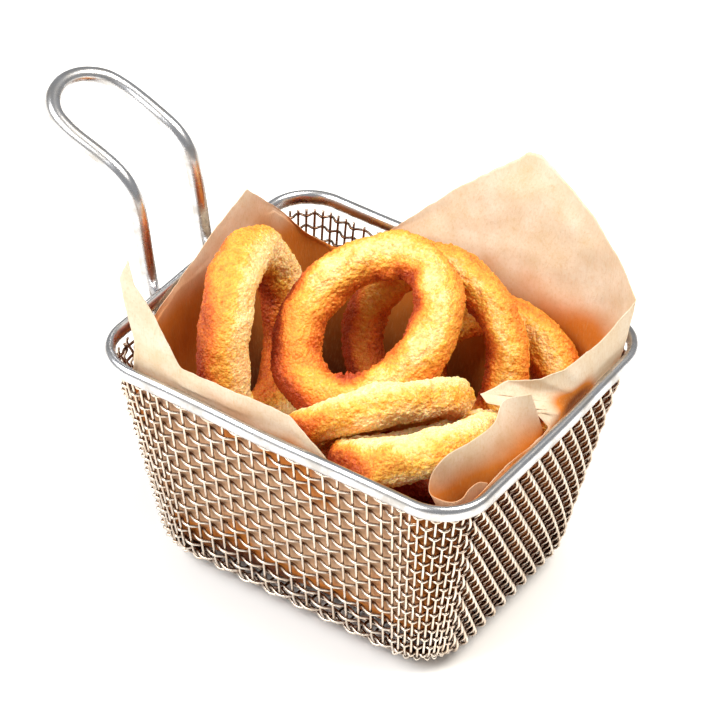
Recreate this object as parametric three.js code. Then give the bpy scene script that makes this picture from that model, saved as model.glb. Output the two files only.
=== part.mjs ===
// A side of battered onion rings, served in a small wire frying basket that is lined with brown paper.
// Millimetres, +Z up. The origin is the middle of the basket's flat bottom, which rests on z = 0.
// The long side of the basket lies along X, and the handle stands on its -X side.

import * as THREE from 'three';
import { mergeVertices } from 'three/addons/utils/BufferGeometryUtils.js';

// ---- driving dimensions ----

// The basket: half lengths of its outside at the bottom and of the rim's centreline, and their corner radii.
const bottom = { halfX: 50.3, halfY: 38.4, corner: 16.7, edgeRadius: 10 };
const rim = { halfX: 60, halfY: 50.4, corner: 14, height: 73.1, wide: 3.4, tall: 4.8, bow: 0.6 };
const meshWall = { thick: 1.6, top: 70.4, cornerSteps: 7, sideSteps: 5 };
// The handle: one bent wire with two legs outside the -X wall, an arm and a round end.
const handle = {
  wire: 4.6,
  middleY: -2.2,
  legSpacing: 26.2,
  foot: { x: -60.1, z: 52 },
  atRim: { x: -64.9, z: 73.1 },
  elbow: { x: -71.1, z: 106.8, radius: 10 },
  end: { x: -105.4, z: 119.5, radius: 12.4 },
};
// The paper: how far it hangs inside the mesh's outside, its thickness as a solid, its lowest level,
// and the radius it turns with from wall to floor: tight at the back, wide at the front right.
const paper = { inset: 2.45, thick: 0.7, floor: 2.3, tightTurn: 11, wideTurn: 21, wideAt: 305, crease: 74 };

// Rings: middle of the ring, lean of its axis from upright, heading of that lean and turn in its own plane
// in degrees, half lengths of the oval centreline, half width and half height of the batter's section.
// warp: how far the centreline leaves its plane, in two waves, and where in degrees the first of them starts.
const rings = [
  {
    name: 'onion_ring_left', at: [-34.7, -7.2, 63.8], lean: 76, turn: 15, spin: 143,
    oval: [25.0, 22.5], half: [6.7, 7.1], seed: 3,
  },
  {
    name: 'onion_ring_middle', at: [-3.7, 2.7, 76.4], lean: 38, turn: -91, spin: 164,
    oval: [23.1, 18.4], half: [6.7, 6.6], seed: 11,
  },
  {
    name: 'onion_ring_back', at: [7.4, 21.4, 62.1], lean: 63, turn: -92, spin: 143,
    oval: [22.7, 25.2], half: [6.1, 6.0], seed: 5,
  },
  {
    name: 'onion_ring_right', at: [20.2, 32.5, 48.9], lean: 72, turn: -84, spin: 165,
    oval: [20.3, 21.7], half: [6.7, 6.4], seed: 8,
  },
  {
    name: 'onion_ring_front_upper', at: [9.4, -12.3, 61.7], lean: 44.4, turn: 145, spin: -116.4,
    oval: [22.3, 18.6], half: [5.8, 5.6], warp: [0.85, -90], seed: 21,
  },
  {
    name: 'onion_ring_front_lower', at: [28.8, -20.1, 63.3], lean: 40, turn: 145, spin: -105,
    oval: [18.9, 19.4], half: [6.3, 6.5], seed: 14,
  },
  {
    name: 'onion_ring_under_left', at: [-24.1, -12.4, 24.7], lean: 31, turn: 215, spin: 0,
    oval: [20.5, 19.5], half: [6.4, 6.2], seed: 31, plain: true,
  },
  {
    name: 'onion_ring_under_right', at: [26, -14.4, 33.3], lean: 13, turn: 57, spin: 20,
    oval: [20, 18.5], half: [6.2, 6.0], seed: 26, plain: true,
  },
  {
    name: 'onion_ring_bottom_right', at: [21.5, -7.3, 17.4], lean: 13, turn: 0, spin: 0,
    oval: [19, 18], half: [5.8, 5.6], seed: 17, plain: true,
  },
  {
    name: 'onion_ring_bottom_left', at: [-16.8, 9.4, 9.7], lean: 1, turn: 100, spin: 0,
    oval: [18.6, 18], half: [5.9, 5.7], seed: 44, plain: true,
  },
];

// The paper's free edge, anticlockwise from the +X wall: heading in degrees of the place on the basket's wall
// that the sheet rises from, and where its edge is above that place.
const paperEdge = [
  [-28, 56.6, -30, 71.5], [-14, 56.9, -14, 72.5], [-3, 57, -3, 72], [0.2, 57, -0.2, 72.7],
  [4.2, 51.6, -0.2, 75.6], [5.4, 46, -5.4, 77], [6.6, 41.5, -7.6, 77.6], [8.5, 38.2, -5.6, 78.2],
  [11, 42.4, 0.8, 81], [14.5, 50, 5.2, 82.2], [19, 54, 11.5, 83.2], [23, 55.2, 18.5, 84.2],
  [27, 56.2, 27, 84.6], [31, 56.6, 35, 86], [35, 58, 42.3, 90],
  [41, 50.4, 47.4, 94.5], [49, 36.7, 54.6, 101.5], [58, 25.4, 58, 106.3], [69, 14.6, 60.2, 110.5],
  [74, 10.6, 60.3, 109.7],
  [96, -8.9, 54.6, 92], [116.5, -25.6, 48.1, 74], [121, -28, 46.9, 67], [133, -43.5, 46, 61],
  [140, -51.8, 42.5, 64.5],
  [145, -57.2, 39.6, 71], [151, -58.4, 32.6, 78.2], [158.5, -59.7, 23.5, 87.5],
  [174, -59.1, 6.1, 82.7], [186, -58.5, -5.7, 78.3],
  [203, -57.4, -24.3, 71.7], [213, -55.4, -35, 63], [221, -50.4, -43, 58], [226.2, -45.4, -46.6, 66],
  [226.8, -46.8, -47.8, 88], [227.6, -51.2, -48.2, 102.5], [228.6, -48.3, -48.2, 110.3],
  [230, -46.2, -48.2, 102.6],
  [232.5, -42, -48.2, 98.2],
  [238.5, -30, -48.6, 82.5], [261.5, -7.3, -48.7, 82.8], [275.5, 5, -48.8, 83], [289.5, 17, -48.1, 74],
  [296, 23, -47.2, 69.5],
  [309, 41, -47, 69], [318, 51, -44.2, 69.5], [325, 55.9, -37, 70.5],
];

// The curled fold at the front right, from the +X wall round the corner and back to the same wall:
// its free edge, and where it meets the basket's mouth and dips into the corner.
const curlEdge = [
  [52.8, -3.4, 84], [48.1, -9.6, 83.5], [49.8, -17.2, 81.6], [48.8, -27.2, 81.3], [45.9, -34.6, 79.8],
  [44.2, -38.6, 75.2], [45.4, -41, 71.4], [49.4, -42.2, 71.8], [52.4, -41, 71.6], [53.4, -37.6, 71],
  [53, -33.2, 71.2],
  [53.8, -29.6, 71.4], [55.6, -28.4, 71.2],
];
const curlFoot = [
  [55.8, 0, 69.2], [55.8, -7.5, 69], [55.8, -15, 68.6], [55.2, -20, 67], [54, -25, 63], [52.2, -30, 59],
  [51.4, -34, 57.4], [51.8, -36.4, 57.6], [52.6, -36.6, 58.6], [53.2, -35.4, 59.6], [53.6, -32.6, 61],
  [54.2, -30.4, 63], [54.8, -29, 65],
];

// ---- helpers ----

const TURN = Math.PI * 2;
const radians = THREE.MathUtils.degToRad;
const mix = THREE.MathUtils.lerp;

// A fixed phase between 0 and a full turn for the n-th wave of a seeded shape.
function phase(seed, n) {
  const x = Math.sin(seed * 12.9898 + n * 78.233) * 43758.5453;
  return (x - Math.floor(x)) * TURN;
}

// Triangles of a closed solid, from a grid of points: rows that close on themselves, each a loop of columns.
// The rows join one after another. The last joins the first, or each end is closed: by a point in its middle,
// or straight across, from each column of its first half to the one that faces it in the second.
const ends = { join: 0, middle: 1, across: 2 };

function loopSolid(rows, end) {
  const width = rows[0].length;
  const positions = rows.flat();
  const index = [];
  const count = rows.length;
  const joined = end === ends.join ? count : count - 1;
  const quad = (a, b, c, d) => index.push(a, b, c, a, c, d);
  for (let i = 0; i < joined; i += 1) {
    const next = (i + 1) % count;
    for (let j = 0; j < width; j += 1) {
      const turn = (j + 1) % width;
      quad(i * width + j, i * width + turn, next * width + turn, next * width + j);
    }
  }
  const last = (count - 1) * width;
  if (end === ends.middle) {
    const first = positions.length;
    positions.push(middle(rows[0]), middle(rows[count - 1]));
    for (let j = 0; j < width; j += 1) {
      const turn = (j + 1) % width;
      index.push(first, turn, j);
      index.push(first + 1, last + j, last + turn);
    }
  } else if (end === ends.across) {
    for (let j = 0; j + 1 < width / 2; j += 1) {
      quad(j + 1, j, width - 1 - j, width - 2 - j);
      quad(last + j, last + j + 1, last + width - 2 - j, last + width - 1 - j);
    }
  }
  const geometry = new THREE.BufferGeometry();
  const numbers = positions.flatMap((p) => p.toArray());
  geometry.setAttribute('position', new THREE.Float32BufferAttribute(numbers, 3));
  geometry.setIndex(index);
  return outward(mergeVertices(geometry, 1e-4));
}

function middle(points) {
  return points.reduce((sum, p) => sum.add(p), new THREE.Vector3()).divideScalar(points.length);
}

// Turns a closed geometry so that its faces point out, judged by the sign of its volume.
function outward(geometry) {
  const p = geometry.getAttribute('position');
  const index = Array.from(geometry.getIndex().array);
  const corner = (i) => new THREE.Vector3().fromBufferAttribute(p, index[i]);
  let volume = 0;
  for (let i = 0; i < index.length; i += 3) {
    volume += corner(i).dot(corner(i + 1).cross(corner(i + 2)));
  }
  if (volume < 0) {
    for (let i = 0; i < index.length; i += 3) {
      [index[i], index[i + 1]] = [index[i + 1], index[i]];
    }
    geometry.setIndex(index);
  }
  geometry.computeVertexNormals();
  return geometry;
}

// A solid with the thickness given, from the middle surface of a thin sheet: a grid of points whose rows
// are open or close on themselves. Each side is moved half the thickness along the surface's normal.
function sheetSolid(grid, thick, closed) {
  const rows = grid.length;
  const width = grid[0].length;
  const at = (i, j) => {
    const row = grid[Math.min(Math.max(i, 0), rows - 1)];
    return row[closed ? (j + width) % width : Math.min(Math.max(j, 0), width - 1)];
  };
  const side = (sign) => grid.map((row, i) => row.map((point, j) => {
    const along = at(i, j + 1).clone().sub(at(i, j - 1));
    const up = at(i + 1, j).clone().sub(at(i - 1, j));
    const normal = along.cross(up).normalize();
    return point.clone().addScaledVector(normal, (sign * thick) / 2);
  }));
  const front = side(1);
  const back = side(-1);
  if (closed) {
    // The sheet's middle is closed by a point on each side, which the caps give.
    return loopSolid([...front, ...back.reverse()], ends.middle);
  }
  const loops = front.map((row, i) => [...row, ...back[i].slice().reverse()]);
  return loopSolid(loops, ends.across);
}

// A point of the rounded rectangle with the half lengths and corner radius given, at a heading in radians.
function roundedAt(halfX, halfY, corner, heading) {
  const c = Math.cos(heading);
  const s = Math.sin(heading);
  const flatX = halfX - corner;
  const flatY = halfY - corner;
  // The ray meets a straight side, or the corner's circle where both side hits lie past the straight stretch.
  const reach = Math.min(halfX / Math.max(Math.abs(c), 1e-9), halfY / Math.max(Math.abs(s), 1e-9));
  const x = Math.abs(c) * reach;
  const y = Math.abs(s) * reach;
  let distance = reach;
  if (x > flatX && y > flatY) {
    const along = Math.abs(c) * flatX + Math.abs(s) * flatY;
    distance = along + Math.sqrt(along * along - flatX * flatX - flatY * flatY + corner * corner);
  }
  return new THREE.Vector2(c * distance, s * distance);
}

// Outside of the basket's wall at a level, moved in by an inset, at a heading in radians.
function wallAt(heading, z, inset) {
  const share = z / rim.height;
  const flat = roundedAt(
    mix(bottom.halfX, rim.halfX, share) - inset,
    mix(bottom.halfY, rim.halfY, share) - inset,
    Math.max(mix(bottom.corner, rim.corner, share) - inset, 2),
    heading,
  );
  return new THREE.Vector3(flat.x, flat.y, z);
}

function material(color, roughness, metalness) {
  return new THREE.MeshStandardMaterial({ color, roughness, metalness });
}

function namedMesh(name, geometry, surface) {
  const mesh = new THREE.Mesh(geometry, surface);
  mesh.name = name;
  return mesh;
}

// ---- the basket ----

// A loop round the basket: its outside at a share of its height, moved in by an inset and set at a level.
// Each corner is an arc in equal steps, and each side bows out a little between its corners.
function basketLoop(share, inset, z) {
  const corner = mix(bottom.corner, rim.corner, share);
  const flatX = mix(bottom.halfX, rim.halfX, share) - corner;
  const flatY = mix(bottom.halfY, rim.halfY, share) - corner;
  const centres = [[flatX, flatY], [-flatX, flatY], [-flatX, -flatY], [flatX, -flatY]];
  const loop = [];
  const add = (x, y, a) => {
    const bow = share * rim.bow * Math.cos(2 * Math.atan2(y, x)) ** 2;
    const out = corner - inset + bow;
    loop.push(new THREE.Vector3(x + out * Math.cos(a), y + out * Math.sin(a), z));
  };
  centres.forEach(([x, y], quarter) => {
    const [nextX, nextY] = centres[(quarter + 1) % 4];
    for (let step = 0; step <= meshWall.cornerSteps; step += 1) {
      add(x, y, ((quarter + step / meshWall.cornerSteps) * TURN) / 4);
    }
    for (let step = 1; step < meshWall.sideSteps; step += 1) {
      const along = step / meshWall.sideSteps;
      add(mix(x, nextX, along), mix(y, nextY, along), ((quarter + 1) * TURN) / 4);
    }
  });
  return loop;
}

// The woven wall and bottom as one thin shell: down its outside, round the bottom edge, and up its inside.
function basketGeometry() {
  const side = (inset) => {
    const radius = bottom.edgeRadius - inset;
    const top = basketLoop(meshWall.top / rim.height, inset, meshWall.top);
    const turn = [0, 22.5, 45, 67.5, 90].map((angle) => {
      const a = radians(angle);
      const z = bottom.edgeRadius - radius * Math.sin(a);
      return basketLoop(z / rim.height, inset + radius * (1 - Math.cos(a)), z);
    });
    return [top, ...turn];
  };
  return loopSolid([...side(0).reverse(), ...side(meshWall.thick)], ends.middle);
}

// The rim: an oval section carried round the basket's mouth.
function rimGeometry() {
  const sides = 8;
  const rows = Array.from({ length: sides }, (_, i) => {
    const a = (i / sides) * TURN;
    return basketLoop(1, (-Math.cos(a) * rim.wide) / 2, rim.height + (Math.sin(a) * rim.tall) / 2);
  });
  return loopSolid(rows, ends.join);
}

// The middle line of the handle's wire: up one leg, round the elbow, along the arm, round the end and back.
function handleRoute() {
  const half = handle.legSpacing / 2;
  const { foot, atRim, elbow, end } = handle;
  const armDirection = new THREE.Vector2(end.x - elbow.x, end.z - elbow.z).normalize();
  const legDirection = new THREE.Vector2(atRim.x - elbow.x, atRim.z - elbow.z).normalize();
  const side = (y) => {
    const points = [
      [foot.x, foot.z],
      [mix(foot.x, atRim.x, 0.5), mix(foot.z, atRim.z, 0.5)],
      [atRim.x, atRim.z],
      [mix(atRim.x, elbow.x, 0.35), mix(atRim.z, elbow.z, 0.35)],
    ];
    for (const t of [-1, -0.5, 0, 0.5, 1]) {
      // A quadratic bend between the point before the elbow and the point after it.
      const q = (t + 1) / 2;
      const before = new THREE.Vector2(elbow.x, elbow.z).addScaledVector(legDirection, elbow.radius);
      const after = new THREE.Vector2(elbow.x, elbow.z).addScaledVector(armDirection, elbow.radius);
      const x = (1 - q) ** 2 * before.x + 2 * q * (1 - q) * elbow.x + q * q * after.x;
      const z = (1 - q) ** 2 * before.y + 2 * q * (1 - q) * elbow.z + q * q * after.y;
      points.push([x, z]);
    }
    return points.map(([x, z]) => new THREE.Vector3(x, y, z));
  };
  const round = [];
  for (const angle of [-90, -60, -30, 0, 30, 60, 90]) {
    const a = radians(angle);
    const back = end.radius * (1 - Math.cos(a));
    round.push(new THREE.Vector3(
      end.x - armDirection.x * back,
      handle.middleY - (Math.sin(a) * half),
      end.z - armDirection.y * back,
    ));
  }
  const front = side(handle.middleY + half);
  const rear = side(handle.middleY - half).reverse();
  return new THREE.CatmullRomCurve3([...front, ...round, ...rear], false, 'centripetal');
}

function handleGeometry() {
  const section = new THREE.Shape();
  section.absarc(0, 0, handle.wire / 2, 0, TURN, false);
  const along = { steps: 48, curveSegments: 5, extrudePath: handleRoute() };
  const geometry = new THREE.ExtrudeGeometry(section, along);
  geometry.deleteAttribute('normal');
  geometry.deleteAttribute('uv');
  return outward(mergeVertices(geometry, 1e-3));
}

// ---- the paper ----

// How far the paper turns in above its floor, which is wider towards the front right.
function turnRadius(heading) {
  const toWide = (1 + Math.cos(heading - radians(paper.wideAt))) / 2;
  return mix(paper.tightTurn, paper.wideTurn, toWide ** 3);
}

// One column of the sheet, from near the middle of its floor out, up the wall and on to the free edge.
function paperColumn(heading, edge) {
  const radius = turnRadius(heading);
  const column = [];
  const turnTop = paper.floor + radius;
  for (const angle of [90, 55, 25, 0]) {
    const a = radians(angle);
    column.push(wallAt(heading, turnTop - radius * Math.sin(a), paper.inset + radius * (1 - Math.cos(a))));
  }
  const crease = Math.min(paper.crease, edge.z - 2);
  column.push(wallAt(heading, mix(turnTop, crease, 0.55), paper.inset));
  const bend = wallAt(heading, crease, paper.inset);
  column.push(bend);
  column.push(bend.clone().lerp(edge, 0.5), edge.clone());
  return column;
}

function paperGeometry() {
  const columns = [];
  paperEdge.forEach(([degrees, x, y, z], i) => {
    const [nextDegrees, nextX, nextY, nextZ] = paperEdge[(i + 1) % paperEdge.length];
    const from = new THREE.Vector3(x, y, z);
    const to = new THREE.Vector3(nextX, nextY, nextZ);
    const turned = i + 1 < paperEdge.length ? nextDegrees : nextDegrees + 360;
    const parts = turned - degrees > 8 ? 2 : 1;
    for (let k = 0; k < parts; k += 1) {
      const heading = radians(mix(degrees, turned, k / parts));
      columns.push(paperColumn(heading, from.clone().lerp(to, k / parts)));
    }
  });
  const rows = columns[0].map((_, i) => columns.map((column) => column[i]));
  return sheetSolid(rows, paper.thick, true);
}

// The curled fold: a sheet stretched from its free edge to its foot, hollow in between like a scoop.
function curlGeometry() {
  const [edge, foot] = [curlEdge, curlFoot].map(
    (points) => new THREE.CatmullRomCurve3(points.map((p) => new THREE.Vector3(...p)), false, 'centripetal'),
  );
  const steps = 24;
  const sag = new THREE.Vector3(-0.3, -0.8, -0.4);
  const rows = [0, 0.3, 0.65, 1].map((down) => Array.from({ length: steps + 1 }, (_, j) => {
    const point = edge.getPoint(j / steps).lerp(foot.getPoint(j / steps), down);
    const ends = Math.sin((j / steps) * Math.PI);
    return point.addScaledVector(sag, Math.sin(down * Math.PI) * ends);
  }));
  return sheetSolid(rows, paper.thick, false);
}

// ---- the onion rings ----

// The batter's surface: an oval section carried round an oval, slightly warped centreline. Section and
// centreline swell and thin by a few slow waves, and shorter waves raise the crags of the crust.
function ringGeometry({ oval, half, warp, seed, plain }) {
  const [lift, start] = warp ? [warp[0], radians(warp[1])] : [0.7, phase(seed, 5)];
  const around = plain ? 28 : 34;
  const across = plain ? 10 : 14;
  const rows = [];
  for (let i = 0; i < around; i += 1) {
    const a = (i / around) * TURN;
    const swell = 1 + 0.05 * Math.sin(2 * a + phase(seed, 1)) + 0.04 * Math.sin(3 * a + phase(seed, 2));
    const flatten = 1 + 0.05 * Math.sin(2 * a + phase(seed, 3)) + 0.03 * Math.sin(5 * a + phase(seed, 4));
    const centre = new THREE.Vector3(
      oval[0] * Math.cos(a),
      oval[1] * Math.sin(a),
      lift * Math.sin(2 * a + start),
    );
    const out = new THREE.Vector3(Math.cos(a) * oval[1], Math.sin(a) * oval[0], 0).normalize();
    const row = [];
    for (let j = 0; j < across; j += 1) {
      const s = (j / across) * TURN;
      const crag = 0.22 * Math.sin(5 * a + 2 * s + phase(seed, 6))
        + 0.2 * Math.sin(8 * a - 3 * s + phase(seed, 7))
        + 0.16 * Math.sin(11 * a + 2 * s + phase(seed, 8));
      const sideways = Math.cos(s) * (half[0] * swell + crag);
      const upward = Math.sin(s) * (half[1] * flatten + crag);
      row.push(centre.clone().addScaledVector(out, sideways).setZ(centre.z + upward));
    }
    rows.push(row);
  }
  return loopSolid(rows, ends.join);
}

function ringMesh(ring, surface) {
  const mesh = namedMesh(ring.name, ringGeometry(ring), surface);
  mesh.position.set(...ring.at);
  mesh.rotateZ(radians(ring.turn));
  mesh.rotateY(radians(ring.lean));
  mesh.rotateZ(radians(ring.spin));
  return mesh;
}

// ---- assembly ----

const steel = material(0xd9d9dc, 0.15, 1);
const kraft = material(0xe0b07a, 0.85, 0);
const batter = material(0xe8b049, 0.8, 0);

const basket = new THREE.Group();
basket.add(namedMesh('basket_wall', basketGeometry(), steel));
basket.add(namedMesh('basket_rim', rimGeometry(), steel));
basket.add(namedMesh('basket_handle', handleGeometry(), steel));

const lining = new THREE.Group();
lining.add(namedMesh('paper_liner', paperGeometry(), kraft));
lining.add(namedMesh('paper_curl', curlGeometry(), kraft));

const food = new THREE.Group();
for (const ring of rings) {
  food.add(ringMesh(ring, batter));
}

const onionRingsSide = new THREE.Group();
onionRingsSide.add(basket, lining, food);

export default onionRingsSide;
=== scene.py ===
"""A side of battered onion rings in a small wire frying basket that is lined with brown kraft paper.

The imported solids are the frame. Sizes in this file are in millimetres, but for the studio's camera and
lights, which are in metres, as the finished meshes are.
The origin is the middle of the basket's bottom, +Z is up, and the handle stands on the basket's -X side.
"""

from __future__ import annotations

import logging
import math
from collections.abc import Callable
from dataclasses import dataclass, field
from enum import Enum
from functools import partial

import bpy
import numpy as np
from mathutils import Matrix

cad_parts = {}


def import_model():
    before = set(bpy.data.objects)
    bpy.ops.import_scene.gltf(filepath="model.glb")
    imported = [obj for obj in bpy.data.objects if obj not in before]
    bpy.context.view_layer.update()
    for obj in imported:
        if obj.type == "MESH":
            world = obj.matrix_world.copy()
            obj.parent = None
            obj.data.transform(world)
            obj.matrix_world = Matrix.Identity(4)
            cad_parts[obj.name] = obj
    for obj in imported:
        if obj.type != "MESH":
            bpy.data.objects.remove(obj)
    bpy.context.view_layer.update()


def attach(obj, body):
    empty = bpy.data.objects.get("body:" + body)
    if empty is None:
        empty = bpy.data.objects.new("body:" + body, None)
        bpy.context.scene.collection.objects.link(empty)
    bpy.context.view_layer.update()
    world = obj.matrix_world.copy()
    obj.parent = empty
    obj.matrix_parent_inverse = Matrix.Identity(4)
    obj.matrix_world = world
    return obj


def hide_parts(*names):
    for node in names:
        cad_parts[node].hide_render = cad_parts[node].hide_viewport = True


log = logging.getLogger("onion_rings_side")

MM = 0.001
TURN = 2.0 * math.pi
BODY = "root"
Array = np.ndarray
Numbers = np.ndarray | float
Object = bpy.types.Object
Material = bpy.types.Material
Node, NodeTree = bpy.types.Node, bpy.types.NodeTree
Inputs = dict[int | str, object]


# ---- numbers and fields ----


def linear(hex_code: str) -> tuple[float, float, float, float]:
    """Turns an sRGB hex colour to linear RGBA.

    Args:
        hex_code: Colour as "#rrggbb".

    Returns:
        Linear red, green, blue and an alpha of one.
    """
    values = [int(hex_code[i : i + 2], 16) / 255 for i in (1, 3, 5)]
    return (*[v / 12.92 if v <= 0.04045 else ((v + 0.055) / 1.055) ** 2.4 for v in values], 1.0)


def mix(a: Numbers, b: Numbers, share: Numbers) -> Numbers:
    """The value a share of the way from a to b."""
    return a + (b - a) * share


def smooth(low: float, high: float, x: Array) -> Array:
    """A smooth step: 0 below low, 1 above high, and 3t^2 - 2t^3 between them."""
    t = np.clip((x - low) / (high - low), 0.0, 1.0)
    return t * t * (3.0 - 2.0 * t)


def hashed(at: Array, seed: int) -> Array:
    """A 32-bit hash of each lattice place: its x, y, z and the seed times large primes, xored and stirred."""
    key = at[..., 0] * 73856093 ^ at[..., 1] * 19349663 ^ at[..., 2] * 83492791 ^ seed * 2654435761
    return (key ^ key >> 13) * 1274126177 & 0xFFFFFFFF


def lattice_noise(points: Array, cell: float, seed: int) -> Array:
    """Value noise from -1 to 1 in space.

    Each corner of a cubic lattice has a value hashed from its place, and a point takes the smooth
    mix of the eight corners round it.

    Args:
        points: Places, with x, y, z in the last axis.
        cell: Side of a lattice cell, in the points' own unit.
        seed: Number that picks the hash.

    Returns:
        One value for each point.
    """
    scaled = points / cell
    base = np.floor(scaled).astype(np.int64)
    part = scaled - base
    part = part * part * (3.0 - 2.0 * part)
    total = np.zeros(points.shape[:-1])
    for corner in range(8):
        step = np.array([corner & 1, corner >> 1 & 1, corner >> 2 & 1])
        key = hashed(base + step, seed)
        key = (key ^ key >> 16) & 0xFFFF
        weight = np.prod(np.where(step == 1, part, 1.0 - part), axis=-1)
        total += weight * (key / 32767.5 - 1.0)
    return total


def layered_noise(points: Array, cell: float, layers: int, seed: int, fall: float = 0.5) -> Array:
    """Sums lattice noise over layers, each with half the cell and a fall of the strength before it.

    Args:
        points: Places, with x, y, z in the last axis.
        cell: Side of the first layer's cells, in the points' own unit.
        layers: Number of layers.
        seed: Number that picks the hashes.
        fall: Share of its strength that each layer leaves to the next.

    Returns:
        One value for each point.
    """
    total = np.zeros(points.shape[:-1])
    strength = 1.0
    for layer in range(layers):
        total += strength * lattice_noise(points, cell / 2**layer, seed + 17 * layer)
        strength *= fall
    return total


def grains(points: Array, size: float, seed: int) -> tuple[Array, Array]:
    """Rounded grains packed in space.

    Every cell of a cubic lattice holds one grain at a hashed place. A point takes its nearest grain, whose
    dome is one less the squared distance over a squared reach of 0.8 cells, and never below zero.

    Args:
        points: Places, with x, y, z in the last axis.
        size: Side of a cell, which is about a grain's size.
        seed: Number that picks the hash.

    Returns:
        Height of the dome from 0 to 1, and a random value of the grain from 0 to 1, for each point.
    """
    scaled = points / size
    base = np.floor(scaled).astype(np.int64)
    nearest = np.full(points.shape[:-1], 9.0)
    value = np.zeros(points.shape[:-1])
    for number in range(27):
        at = base + np.array([number % 3 - 1, number // 3 % 3 - 1, number // 9 - 1])
        key = hashed(at, seed)
        spot = np.stack([(key >> shift & 0xFF) / 255 for shift in (0, 8, 16)], axis=-1)
        distance = ((scaled - at - spot) ** 2).sum(-1)
        closer = distance < nearest
        nearest = np.where(closer, distance, nearest)
        value = np.where(closer, (key >> 24 & 0xFF) / 255, value)
    return np.maximum(1.0 - nearest / 0.64, 0.0), value


def along_curve(points: Array, share: Array) -> Array:
    """Places on a centripetal Catmull-Rom curve through points, at shares of its number of spans.

    Each span is a cubic Hermite curve whose end tangents follow from the square roots of the three
    chord lengths round it. Beyond the ends the chord is mirrored.

    Args:
        points: Control points, one a row.
        share: Values from 0 to 1.

    Returns:
        One place for each share.
    """
    padded = np.vstack([2 * points[0] - points[1], points, 2 * points[-1] - points[-2]])
    spans = len(points) - 1
    place = np.clip(share * spans, 0, spans - 1e-9)
    i = np.floor(place).astype(int)
    t = (place - i)[:, None]
    p0, p1, p2, p3 = (padded[i + k] for k in range(4))
    d0, d1, d2 = (
        np.maximum(np.sqrt(np.linalg.norm(b - a, axis=1)), 1e-6)[:, None]
        for a, b in ((p0, p1), (p1, p2), (p2, p3))
    )
    t1 = ((p1 - p0) / d0 - (p2 - p0) / (d0 + d1) + (p2 - p1) / d1) * d1
    t2 = ((p2 - p1) / d1 - (p3 - p1) / (d1 + d2) + (p3 - p2) / d2) * d1
    return (
        p1 * (2 * t**3 - 3 * t**2 + 1)
        + t1 * (t**3 - 2 * t**2 + t)
        + p2 * (-2 * t**3 + 3 * t**2)
        + t2 * (t**3 - t**2)
    )


# ---- meshes ----


def grid_faces(rows: int, columns: int, wrap_rows: bool, wrap_columns: bool) -> Array:
    """Quads of a grid of points stored row by row.

    Args:
        rows: Number of rows.
        columns: Points in a row.
        wrap_rows: Whether the last row joins the first.
        wrap_columns: Whether each row closes on itself.

    Returns:
        Four indices a face.
    """
    i = np.arange(rows if wrap_rows else rows - 1)[:, None]
    j = np.arange(columns if wrap_columns else columns - 1)[None, :]
    i2 = (i + 1) % rows
    j2 = (j + 1) % columns
    quads = [i * columns + j, i * columns + j2, i2 * columns + j2, i2 * columns + j]
    return np.stack([q.ravel() for q in quads], axis=1)


def make_mesh(name: str, points: Array, faces: list[Array], values: dict[str, Array] | None = None) -> Object:
    """Makes a smooth-shaded mesh object at the origin, with its faces outwards.

    A closed shape whose signed volume is negative is turned the right way round. The volume is the sum
    over the faces of the triple product of their corners.

    Args:
        name: Name of the object.
        points: Corners in millimetres, one a row.
        faces: Arrays of corner indices. Each array holds faces with one number of corners.
        values: Point attributes to keep on the mesh, by name.

    Returns:
        The object, linked to the scene.
    """
    volume = 0.0
    for group in faces:
        p = [points[group[:, k]] for k in range(group.shape[1])]
        for k in range(1, len(p) - 1):
            volume += float((p[0] * np.cross(p[k], p[k + 1])).sum())
    if volume < 0:
        faces = [group[:, ::-1] for group in faces]
    loops = np.concatenate([group.ravel() for group in faces])
    sizes = np.concatenate([np.full(len(group), group.shape[1]) for group in faces])
    mesh = bpy.data.meshes.new(name)
    mesh.vertices.add(len(points))
    mesh.vertices.foreach_set("co", (points * MM).astype(np.float32).ravel())
    mesh.loops.add(len(loops))
    mesh.loops.foreach_set("vertex_index", loops.astype(np.int32))
    mesh.polygons.add(len(sizes))
    mesh.polygons.foreach_set("loop_start", (np.cumsum(sizes) - sizes).astype(np.int32))
    mesh.polygons.foreach_set("use_smooth", np.ones(len(sizes), dtype=bool))
    for key, value in (values or {}).items():
        attribute = mesh.attributes.new(key, "FLOAT", "POINT")
        attribute.data.foreach_set("value", value.astype(np.float32).ravel())
    mesh.update(calc_edges=True)
    mesh.validate()
    return place_object(name, mesh)


def place_object(name: str, data: bpy.types.ID) -> Object:
    """Makes an object and links it to the scene.

    Args:
        name: Name of the object.
        data: Its mesh, light or camera.

    Returns:
        The object, at the origin.
    """
    holder = bpy.data.objects.new(name, data)
    bpy.context.scene.collection.objects.link(holder)
    return holder


def finish_piece(piece: Object, material: Material, node: str) -> None:
    """Dresses a piece, makes it ride on the body and lets it stand for a CAD node.

    Args:
        piece: The finished mesh object.
        material: Its material.
        node: Name of the CAD node that it stands for.
    """
    piece.data.materials.append(material)
    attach(piece, BODY)
    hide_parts(node)
    log.info("%s: %d faces", piece.name, len(piece.data.polygons))


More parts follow.
